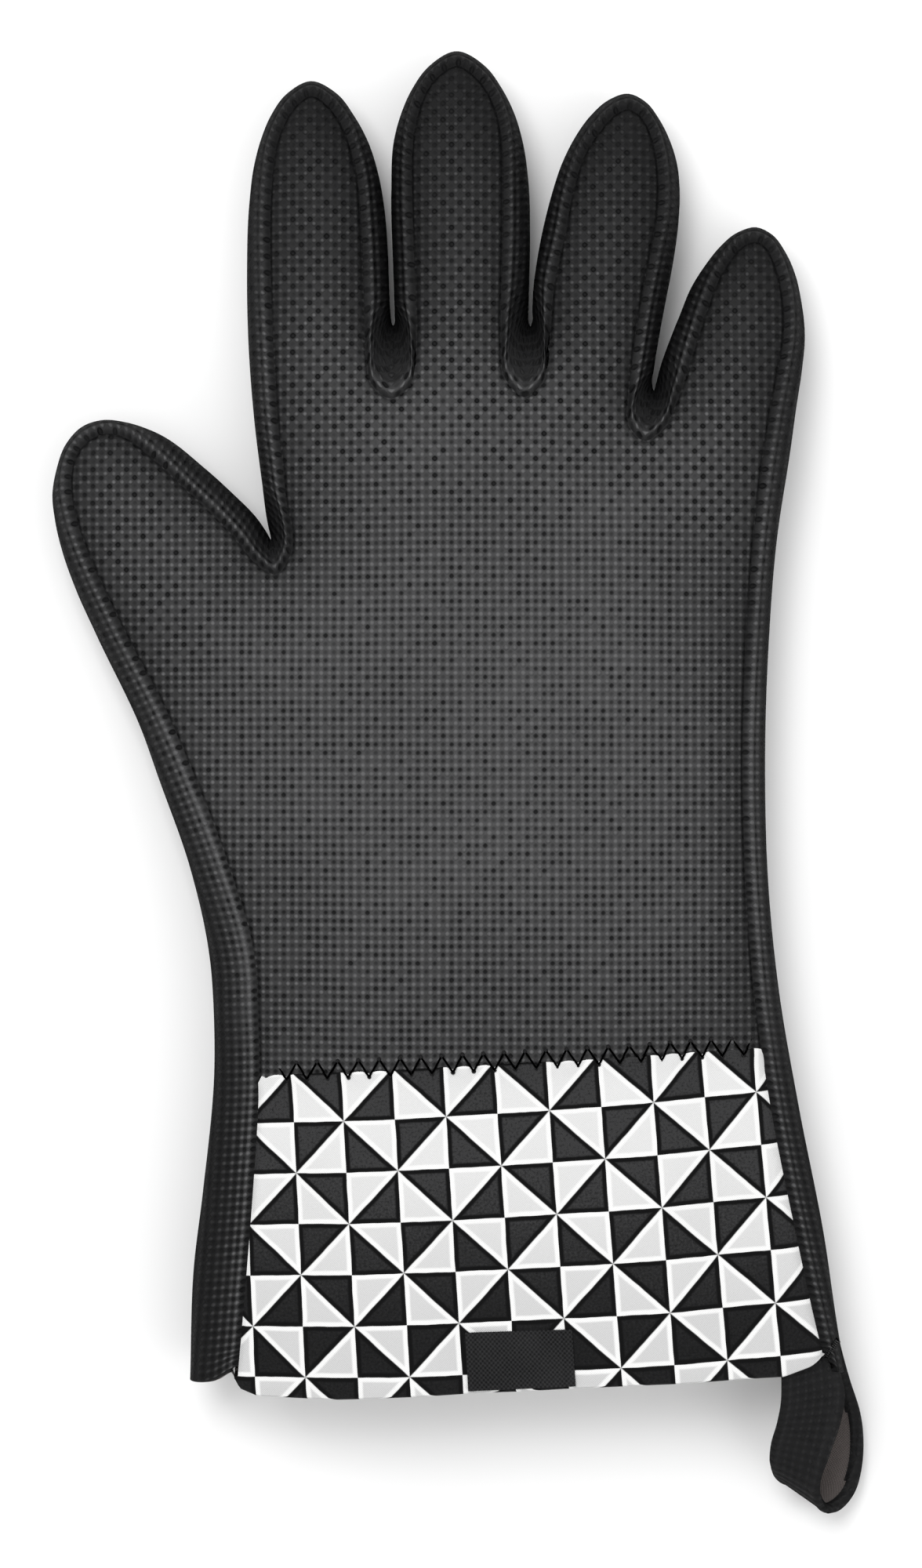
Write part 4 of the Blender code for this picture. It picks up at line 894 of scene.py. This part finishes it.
rows_of = np.repeat(np.arange(len(ts) - 1)[:, None], m - 1, 1).ravel()
rows_of = np.concatenate([rows_of, rows_of])
turn = 0.5 * (ts[rows_of] + ts[rows_of + 1])
centres = final_all[strip_own].mean(1)[:, :2]
labels = section_of(centres, turn)
strip_parts = [
    ("thumb_side_strip", "hand", KNOTS[0], knot(1)),
    ("web_thumb_index", "hand", knot(1), knot(3, 8)),
    ("web_index_middle", "hand", knot(3, 8), knot(5, 9)),
    ("web_middle_ring", "hand", knot(5, 9), knot(7, 9)),
    ("web_ring_little", "hand", knot(7, 9), knot(9, 8)),
    ("little_side_strip", "hand", knot(9, 8), KNOTS[-1]),
    ("cuff_side_strip_thumb", "cuff", KNOTS[0], knot(3)),
    ("cuff_side_strip_little", "cuff", knot(9), KNOTS[-1]),
    ("thumb_base_side_outer", "thumb_base", KNOTS[0], knot(1, 7)),
    ("thumb_base_side_upper", "thumb_base", knot(1, 7), knot(3)),
    ("thumb_tip_side", "thumb_tip", KNOTS[0], KNOTS[-1]),
]
for k, f in enumerate(("index", "middle", "ring", "little")):
    group = 3 + 2 * k
    tip_row = {"index": 10, "middle": 9, "ring": 9, "little": 8}[f]
    strip_parts += [
        (f"{f}_base_side_l", f"{f}_base", KNOTS[0], knot(group, tip_row)),
        (f"{f}_base_side_r", f"{f}_base", knot(group, tip_row), KNOTS[-1]),
        (f"{f}_tip_side", f"{f}_tip", KNOTS[0], KNOTS[-1]),
    ]
for name, section, t0, t1 in strip_parts:
    pick = (labels == section) & (turn >= t0) & (turn < t1)
    emit("shell_" + name, strip_own[pick], section, [name], STRIP)

# ---- printed cuff ------------------------------------------------------------------------------------------------------
def print_cells(xy):
    """Grid coordinates of the print; the cloth is a little stretched, so the grid is not quite square."""
    x, y = xy[:, 0] / 100, xy[:, 1] / 100
    u = 22.956 + 7.555 * x + 0.515 * y + 0.249 * x * y - 0.157 * x * x
    v = 14.377 - 0.283 * x + 7.699 * y - 0.277 * x * y - 0.150 * x * x
    return np.column_stack([u, v])


HEM = np.array([(-70.4, 6.0), (-69.0, 3.6), (-64.6, 1.8), (-44.4, 1.5), (12.0, 4.4), (67.7, 6.7), (74.8, 8.9), (78.6, 11.5)])
n_wrist = np.array([0.0546, -0.9985])
n_wrist /= np.hypot(*n_wrist)
u_wrist = np.array([-n_wrist[1], n_wrist[0]])
STITCH = 5.2
UPPER_POINT = -28.4  # one of the zigzag's upper points, along the seam
LOWER_POINT = UPPER_POINT + STITCH / 2


def wrist_point(a, s):
    return np.array([0.0, 83.5]) + u_wrist * a + n_wrist * s


def cuff_loop(scallop):
    left = crossing(2, "wrist", -0.4, knot(0, 3))
    right = crossing(2, "wrist", -0.4, knot(10, 6))
    a, b = int(np.searchsorted(ts, left)) - 1, int(np.searchsorted(ts, right))
    run_l, run_r = seam_line[: a + 1], seam_line[b:]
    a0 = (run_l[-1] - [0.0, 83.5]) @ u_wrist
    a1 = (run_r[0] - [0.0, 83.5]) @ u_wrist
    along_edge = np.arange(a0 + 1.0, a1 - 0.8, 0.32)
    wave = scallop * np.abs(np.sin(np.pi * (along_edge - LOWER_POINT) / STITCH)) ** 0.6
    top = np.array([wrist_point(q, -0.95 - w) for q, w in zip(along_edge, wave)])
    spline = np.array(HEM)
    dist = np.concatenate([[0], np.cumsum(np.hypot(*np.diff(spline, axis=0).T))])
    bottom_s = np.linspace(0.0, dist[-1], int(dist[-1]))
    bottom = np.column_stack([np.interp(bottom_s, dist, spline[:, k]) for k in (0, 1)])[::-1]
    run_l, run_r = run_l[run_l[:, 1] > 6.4], run_r[run_r[:, 1] > 11.4]
    return np.vstack([run_l, top, run_r, bottom]), len(run_l), len(run_l) + len(top) + len(run_r)


loop, la, lb = cuff_loop(0.9)
cuff_xy, cuff_tris = panel_mesh(loop, loop[:la], (0.5, 1.1), 1.1, 0.8)
hem_rims = {}
cuff_d = to_polyline(cuff_xy, BORDER)
cuff_q = to_polyline(cuff_xy, seam_line)
cuff_s = ahead_of(cuff_xy, "wrist")
hem_line = HEM
cuff_h = to_polyline(cuff_xy, hem_line)
for side, name in ((1, "cuff_fabric_front"), (-1, "cuff_fabric_back")):
    z = pillow(cuff_xy, side, cuff_d, 0.3)
    p = np.column_stack([cuff_xy, z])
    t = cuff_tris if side > 0 else cuff_tris[:, ::-1]
    n = vertex_normals(p, t)
    puff = 0.35 * smooth(cuff_q / 3.0) - 0.35 * np.exp(-((cuff_q / 0.7) ** 2))
    puff += 0.95 * np.exp(-(((cuff_s + 1.2) / 2.6) ** 2))
    a_here = (cuff_xy - [0.0, 83.5]) @ u_wrist
    pull = np.abs(np.sin(np.pi * (a_here - LOWER_POINT) / STITCH)) ** 0.7
    puff -= 0.55 * (1 - pull) * np.exp(-(((cuff_s + 0.3) / 1.3) ** 2))
    puff -= 0.35 * smooth(1 - cuff_h / 2.2)
    drape = 0.5 * ripple(cuff_xy[:, 0] * 1.3, cuff_xy[:, 1] * 0.7, 4.2) * smooth(cuff_q / 10.0)
    drape += 0.30 * np.sin(cuff_xy[:, 0] * 0.21 + 0.5) * smooth(cuff_q / 10.0) * smooth(1 - cuff_h / 40.0)
    if side < 0:
        keep = smooth((z - 0.1) / 1.2)
        puff, drape = puff * keep, drape * keep
    p = p + n * (puff + drape)[:, None]
    p[:, 2] = np.maximum(p[:, 2], 0.0)
    n = vertex_normals(p, t)
    hem_rims[side] = (p[lb : len(loop)], n[lb : len(loop)], cuff_xy[lb : len(loop)])
    # painted shade: the print is painted paler towards the top of the cuff and darker towards the hem
    paleness = smooth((cuff_xy[:, 1] - 12) / 60)
    obj = thick(name + "_print", p, n, print_cells(cuff_xy), t, 1.1, PRINT, paleness)
    follow(obj, "cuff")
    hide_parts(name)

# ---- zigzag stitching at the wrist seam --------------------------------------------------------------------------------
def surface_at(xy, side, lift):
    """Points lift mm above the outside of the glove."""
    xy = np.atleast_2d(xy)
    d = to_polyline(xy, BORDER)
    z = pillow(xy, side, d)
    e = 0.4
    zx = pillow(xy + [e, 0], side, to_polyline(xy + [e, 0], BORDER))
    zy = pillow(xy + [0, e], side, to_polyline(xy + [0, e], BORDER))
    n = np.column_stack([-(zx - z) / e, -(zy - z) / e, np.ones(len(xy))]) * side
    n /= np.linalg.norm(n, axis=1)[:, None]
    if side < 0:
        n = n * smooth((z[:, None] + 0.2) / 0.6) + np.array([0, 0, -1.0]) * (1 - smooth((z[:, None] + 0.2) / 0.6))
    out = np.column_stack([xy, z]) + n * np.reshape(lift, (-1, 1))
    return out, n


wrist_left = crossing(2, "wrist", 0.0, knot(0, 3))
wrist_right = crossing(2, "wrist", 0.0, knot(10, 6))
wa = (path(wrist_left)[0, 2:] - [0.0, 83.5]) @ u_wrist
wb = (path(wrist_right)[0, 2:] - [0.0, 83.5]) @ u_wrist
for side, tag in ((1, "front"), (-1, "back")):
    pts, lifts, beads = [], [], []
    half = STITCH / 2
    first = math.ceil((wa + 2.4 - UPPER_POINT) / half)
    last = math.floor((wb - 2.4 - UPPER_POINT) / half)
    for k in range(first, last + 1):
        a0 = UPPER_POINT + k * half
        upper = k % 2 == 0
        s0, s1 = (-4.7, -0.45) if upper else (-0.45, -4.7)
        beads.append((*wrist_point(a0, s0), 0.12 if upper else 0.45))
        if k == last:
            pts.append(wrist_point(a0, s0))
            lifts.append(0.0)
            break
        for f in np.linspace(0, 1, 11)[:-1]:
            pts.append(wrist_point(a0 + half * f, s0 + (s1 - s0) * f))
            on_cloth = smooth(((s0 + (s1 - s0) * f) + 2.4) / 0.8)
            lifts.append(0.05 + 0.85 * on_cloth + 0.25 * math.sin(math.pi * f))
    line, _ = surface_at(np.array(pts), side, np.array(lifts) + (0.0 if side > 0 else -0.15))
    line[:, 2] = np.maximum(line[:, 2], 0.25)
    verts, faces, ring_n = tube(line, 0.27, 6)
    uv = np.column_stack([np.repeat(np.arange(len(line)) * 0.5, 6), np.tile(np.arange(6) / 6, len(line))])
    beads = np.array(beads)
    spot, up = surface_at(beads[:, :2], side, beads[:, 2] + (0.0 if side > 0 else -0.1))
    spot[:, 2] = np.maximum(spot[:, 2], 0.3)
    theta, phi = np.meshgrid(np.linspace(0, math.pi, 6), np.linspace(0, TAU, 9)[:-1], indexing="ij")
    ball = np.column_stack([(np.sin(theta) * np.cos(phi)).ravel(), (np.sin(theta) * np.sin(phi)).ravel(), np.cos(theta).ravel()])
    ball_faces = [(i * 8 + j, i * 8 + (j + 1) % 8, (i + 1) * 8 + (j + 1) % 8, (i + 1) * 8 + j) for i in range(5) for j in range(8)]
    all_v, all_f, all_n, all_uv = [verts], list(faces), [ring_n], [uv]
    start_at = len(verts)
    for q, w in zip(spot, up):
        all_v.append(q + ball * [0.62, 0.62, 0.42])
        all_n.append(ball)
        all_uv.append(ball[:, :2])
        all_f += [tuple(i + start_at for i in f[::-1]) for f in ball_faces]
        start_at += len(ball)
    obj = make("zigzag_" + tag, np.vstack(all_v), all_f, np.vstack(all_n), np.vstack(all_uv), THREAD)
    weld_close(obj)
    follow(obj, "cuff")

# ---- lining ------------------------------------------------------------------------------------------------------------
LINING_DEPTH = 3.7
rows = DENSE[:, :2]
ahead = np.gradient(rows, axis=0)
ahead /= np.hypot(*ahead.T)[:, None]
inner = rows + np.column_stack([ahead[:, 1], -ahead[:, 0]]) * LINING_DEPTH
keep = to_polyline(inner, BORDER) > LINING_DEPTH - 0.06
inner = inner[keep]
inner = inner[np.concatenate([[True], np.hypot(*np.diff(inner, axis=0).T) > 0.5])]
hem_s = np.concatenate([[0], np.cumsum(np.hypot(*np.diff(HEM, axis=0).T))])
mouth_x = np.linspace(inner[-1, 0], inner[0, 0], 60)[1:-1]
mouth = np.column_stack([mouth_x, np.interp(mouth_x, HEM[:, 0], HEM[:, 1]) + 1.6])
inner = inner[inner[:, 1] > np.interp(inner[:, 0], HEM[:, 0], HEM[:, 1]) + 1.2]
bag_loop = np.vstack([inner, mouth])
bag_xy, bag_tris = panel_mesh(bag_loop, bag_loop, (), 2.4, 1.3)
bag_d = to_polyline(bag_xy, BORDER)
on_edge = np.zeros(len(bag_xy), bool)
on_edge[: len(inner)] = True
bag_label = section_of(bag_xy[bag_tris].mean(1))
for section in sorted(set(bag_label)):
    made = []
    pick = bag_tris[bag_label == section]
    front_z = pillow(bag_xy, 1, np.maximum(bag_d, LINING_DEPTH), LINING_DEPTH)
    back_z = pillow(bag_xy, -1, np.maximum(bag_d, LINING_DEPTH), LINING_DEPTH)
    front_z[on_edge] = back_z[on_edge] = mid_height(bag_xy)[on_edge]
    nb = len(bag_xy)
    both = np.vstack([np.column_stack([bag_xy, front_z]), np.column_stack([bag_xy, back_z])])
    whole = np.vstack([bag_tris, bag_tris[:, ::-1] + nb])
    merge = np.arange(2 * nb)
    merge[nb : nb + len(inner)] = np.arange(len(inner))
    whole = merge[whole]
    n = vertex_normals(both, whole)
    pick = merge[np.vstack([pick, pick[:, ::-1] + nb])]
    uv = np.vstack([bag_xy, bag_xy + [7.0, 3.0]])
    node = {"hand": "hand_lining", "cuff": "cuff_lining"}.get(section, section + "_lining")
    crumple = 0.35 * ripple(both[:, 0] * 1.9, both[:, 1] * 1.4, 5.1)
    shaped_bag = both - n * np.maximum(0.0, crumple)[:, None]
    obj = thick(node + "_cloth", shaped_bag, n, uv, pick, 1.3, LINING)
    follow(obj, section)
    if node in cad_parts:
        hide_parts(node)

# ---- rolled edge of the cuff mouth -------------------------------------------------------------------------------------
def mouth_ring():
    """Points and outward normals once round the mouth, with the cloth coordinates and which cloth each one is."""
    front_p, front_n, front_xy = (v[::-1] for v in hem_rims[1])
    back_p, back_n, back_xy = hem_rims[-1]
    right_i = strip_index[-1][1:-1]
    left_i = strip_index[0][1:-1][::-1]
    rim_p = np.vstack([front_p, final_all[right_i], back_p, final_all[left_i]])
    rim_n = np.vstack([front_n, shade_all[right_i], back_n, shade_all[left_i]])
    rim_c = np.vstack([front_xy, final_all[right_i][:, :2], back_xy, final_all[left_i][:, :2]])
    kind = np.concatenate([np.zeros(len(front_p)), np.ones(len(right_i)), np.zeros(len(back_p)), np.ones(len(left_i))])
    return rim_p, rim_n, rim_c, kind


rim_p, rim_n, rim_c, kind = mouth_ring()
rim_n[:, 1] = 0
rim_n /= np.linalg.norm(rim_n, axis=1)[:, None]
turns = np.linspace(0, math.pi, 13)
depth = 4.9
roll = []
for a in turns:
    swell = 0.6 * math.sin(a)
    roll.append(rim_p - rim_n * (depth / 2 * (1 - math.cos(a))) + np.array([0, -1.0, 0]) * swell)
roll.append(roll[-1] + np.array([0, 5.0, 0.0]))
roll = np.stack(roll, 1)
count_r, deep_r = roll.shape[:2]
faces, slots = [], []
for i in range(count_r):
    j = (i + 1) % count_r
    for k in range(deep_r - 1):
        faces.append((i * deep_r + k, i * deep_r + k + 1, j * deep_r + k + 1, j * deep_r + k))
        slots.append((1 if kind[i] and kind[j] else 0) if k < 5 else 2)
flat_roll = roll.reshape(-1, 3)
tri = np.array([(f[0], f[1], f[2]) for f in faces] + [(f[0], f[2], f[3]) for f in faces])
roll_n = vertex_normals(flat_roll, tri)
if (roll_n.reshape(count_r, deep_r, 3)[:, 3] * rim_n).sum() < 0:
    faces = [f[::-1] for f in faces]
    roll_n = -roll_n
print_uv = print_cells(np.repeat(rim_c, deep_r, 0) - np.column_stack([np.zeros(count_r * deep_r), np.tile(np.concatenate([turns, [4]]) * 2.0, count_r)]))
# painted shade: the rolled hem is given one fixed painted-shading value, 0.3, which darkens its print and coating
roll_shading = np.full(len(flat_roll), 0.3)
obj = make("cuff_hem_roll", flat_roll, faces, roll_n, print_uv, [PRINT, TAPE, LINING_ROLL], slots, painted_shading=roll_shading)
follow(obj, "cuff")

# ---- label -------------------------------------------------------------------------------------------------------------
LABEL_BOX = np.array([(-11.6, 3.6), (15.2, 4.9), (14.3, 19.0), (-12.4, 18.2)])
nx, ny = 90, 46
gu, gv = np.meshgrid(np.linspace(0, 1, nx), np.linspace(0, 1, ny), indexing="ij")
a, b, c, d = LABEL_BOX
xy = ((1 - gu)[..., None] * (1 - gv)[..., None] * a + gu[..., None] * (1 - gv)[..., None] * b
      + gu[..., None] * gv[..., None] * c + (1 - gu)[..., None] * gv[..., None] * d).reshape(-1, 2)
du = np.minimum(gu, 1 - gu).ravel() * 31
dv = np.minimum(gv, 1 - gv).ravel() * 15.4
fold = 0.28 * smooth(1 - np.abs(du - 1.3) / 1.5) - 0.25 * np.exp(-(((du - 2.6) / 0.35) ** 2))
lift = 0.62 + fold - 0.35 * smooth(1 - np.minimum(du, dv) / 0.5) + 0.12 * ripple(xy[:, 0] * 2, xy[:, 1] * 2, 2.2)
pts, n = surface_at(xy, 1, lift)
k = (np.arange(nx - 1)[:, None] * ny + np.arange(ny - 1)[None]).ravel()
t = np.vstack([np.column_stack([k, k + ny, k + ny + 1]), np.column_stack([k, k + ny + 1, k + 1])])
n = vertex_normals(pts, t)
obj = thick("label_woven", pts, n, np.column_stack([gu.ravel() * 31, gv.ravel() * 15.4]), t, 0.5, LABEL)
follow(obj, "cuff")
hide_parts("label")

# ---- hanging loop ------------------------------------------------------------------------------------------------------
def px(x, y, z):
    return ((x - 655) * 0.2, (1775 - y) * 0.2, z)


RIGHT_EDGE = np.array([px(*q) for q in [
    (1056, 1700, 20.2), (1066, 1738, 20.6), (1073, 1770, 20.8), (1068, 1806, 20.4), (1055, 1848, 19.2), (1044, 1885, 17.0),
    (1048, 1912, 13.6), (1062, 1931, 9.6), (1080, 1926, 6.6), (1096, 1905, 5.0), (1104, 1872, 4.4), (1105, 1837, 4.4),
    (1100, 1804, 5.2), (1086, 1762, 7.4), (1074, 1722, 10.6), (1066, 1690, 12.0)]])
LEFT_EDGE = np.array([px(*q) for q in [
    (990, 1722, 25.0), (991, 1752, 24.4), (991, 1780, 22.6), (987, 1808, 20.4), (981, 1834, 18.0), (980, 1858, 15.0),
    (984, 1872, 12.0), (990, 1882, 8.6), (1002, 1890, 5.6), (1020, 1886, 3.8), (1033, 1866, 3.2), (1038, 1840, 3.2),
    (1037, 1812, 3.6), (1030, 1778, 5.0), (1020, 1740, 6.8), (1016, 1712, 7.4)]])


def spline(points, count):
    """Smooth curve through points, evenly spaced in the parameter."""
    k = np.arange(len(points), dtype=float)
    t = np.linspace(0, k[-1], count)
    m = np.gradient(points, axis=0)
    i = np.clip(t.astype(int), 0, len(points) - 2)
    u = (t - i)[:, None]
    return ((2 * u**3 - 3 * u**2 + 1) * points[i] + (u**3 - 2 * u**2 + u) * m[i] + (3 * u**2 - 2 * u**3) * points[i + 1]
            + (u**3 - u**2) * m[i + 1])


count, wide_n = 190, 25
left, right = spline(LEFT_EDGE, count), spline(RIGHT_EDGE, count)
f = np.linspace(0, 1, wide_n)
sheet = left[:, None] * (1 - f)[None, :, None] + right[:, None] * f[None, :, None]
run = np.concatenate([[0], np.cumsum(np.linalg.norm(np.diff(0.5 * (left + right), axis=0), axis=1))])
k = (np.arange(count - 1)[:, None] * wide_n + np.arange(wide_n - 1)[None]).ravel()
t = np.vstack([np.column_stack([k, k + 1, k + wide_n + 1]), np.column_stack([k, k + wide_n + 1, k + wide_n])])
flat_sheet = sheet.reshape(-1, 3)
n = vertex_normals(flat_sheet, t)
if n[20 * wide_n + 12, 2] < 0:
    t = t[:, ::-1]
    n = -n
width = np.linalg.norm(right - left, axis=1)
side_mm = (f[None] * width[:, None]).ravel()
edge_mm = np.minimum(side_mm, np.repeat(width, wide_n) - side_mm)
half_t = 0.95 * np.sqrt(np.clip(edge_mm / 0.9, 0, 1)) + 0.28 * np.exp(-(((edge_mm - 2.0) / 0.9) ** 2))
uv = np.column_stack([np.repeat(run, wide_n) / PITCH, side_mm / PITCH])
outer_pts = flat_sheet + n * half_t[:, None]
middle = (edge_mm > 3.2)
inner_pts = flat_sheet - n * np.where(middle, half_t - 0.45, half_t)[:, None]
ns = len(flat_sheet)
edges = np.concatenate([t[:, [0, 1]], t[:, [1, 2]], t[:, [2, 0]]])
rim = edges[~np.isin(edges[:, 0] * ns + edges[:, 1], edges[:, 1] * ns + edges[:, 0])]
quads = np.column_stack([rim[:, 1], rim[:, 0], rim[:, 0] + ns, rim[:, 1] + ns])
faces_in = t[:, ::-1] + ns
slots = np.concatenate([np.zeros(len(t)), middle[t].all(1) * 1.0, np.zeros(len(quads))])
uv_in = np.column_stack([np.repeat(run, wide_n), side_mm])
pts = np.vstack([outer_pts, inner_pts])
n_out = vertex_normals(pts, np.vstack([t, faces_in]))
uv2 = np.vstack([uv, uv])
# painted highlight along the raised rim of the tape and painted shade at its very edge; the second row lowers the dot
# contrast
border = 1.0 + 0.5 * np.exp(-(((edge_mm - 2.4) / 0.6) ** 2)) - 0.5 * np.exp(-((edge_mm / 0.5) ** 2))
tape_tone = np.vstack([np.concatenate([border, border]), np.full(2 * ns, 0.55)])
obj = make("hanging_loop_tape", pts, np.vstack([t, faces_in]), n_out, uv2, [TAPE, TAPE_BACK], slots, quads, tape_tone)
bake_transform(obj)
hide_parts("hanging_loop")

# ---- bartack over the root of the loop ---------------------------------------------------------------------------------
tack = []
for k in range(23):
    along_t = -2.6 + 5.2 * k / 22
    tack.append((79.6 + along_t * 0.62 + (0.75 if k % 2 else -0.75) * 0.78, 12.6 + along_t * 0.78 - (0.75 if k % 2 else -0.75) * 0.62))
tack_line, _ = surface_at(np.array(tack), 1, np.full(len(tack), 0.75))
verts, faces, ring_n = tube(tack_line, 0.24, 6)
uv = np.column_stack([np.repeat(np.arange(len(tack_line)) * 1.5, 6), np.tile(np.arange(6) / 6, len(tack_line))])
obj = make("loop_bartack", verts, faces, ring_n, uv, thread("tack_thread", (0.05, 0.05, 0.05), (0.16, 0.16, 0.16)))
follow(obj, "cuff")

# ---- surroundings ------------------------------------------------------------------------------------------------------
floor_mat, floor_tree, floor_shader = new_material("floor")
floor_shader.inputs["Base Color"].default_value = (0.93, 0.93, 0.93, 1)
floor_shader.inputs["Roughness"].default_value = 0.9
floor_mesh = bpy.data.meshes.new("floor")
floor_mesh.from_pydata([(-6, -6, 0), (6, -6, 0), (6, 6, 0), (-6, 6, 0)], [], [(0, 1, 2, 3)])
floor_mesh.materials.append(floor_mat)
floor = bpy.data.objects.new("floor", floor_mesh)
floor.location = (0, 0, -0.0004)
bpy.context.scene.collection.objects.link(floor)

world = bpy.data.worlds.new("studio")
bpy.context.scene.world = world
world.use_nodes = True
world.node_tree.nodes["Background"].inputs["Color"].default_value = (1, 1, 1, 1)
world.node_tree.nodes["Background"].inputs["Strength"].default_value = 0.74


def area(name, location, target, size, power):
    data = bpy.data.lights.new(name, "AREA")
    data.shape = "RECTANGLE"
    data.size, data.size_y = size
    data.energy = power
    light = bpy.data.objects.new(name, data)
    light.location = location
    light.rotation_mode = "QUATERNION"
    light.rotation_quaternion = (Vector(target) - Vector(location)).to_track_quat("-Z", "Y")
    bpy.context.scene.collection.objects.link(light)
    return light


area("key", (-0.35, 0.55, 1.15), (0, 0, 0), (0.7, 0.7), 9.5)
area("fill", (0.7, -0.4, 0.9), (0, 0, 0), (0.9, 0.9), 2.5)

camera_data = bpy.data.cameras.new("camera")
camera = bpy.data.objects.new("camera", camera_data)
bpy.context.scene.collection.objects.link(camera)
camera_data.lens = 85
camera_data.sensor_width = 36
camera_data.clip_end = 20
camera.location = (-0.0134, 0.155 - 0.150, 0.944 + 0.012)
camera.rotation_euler = (0, 0, 0)
bpy.context.scene.camera = camera
bpy.context.scene.view_settings.view_transform = "Standard"
bpy.context.scene.render.film_transparent = False
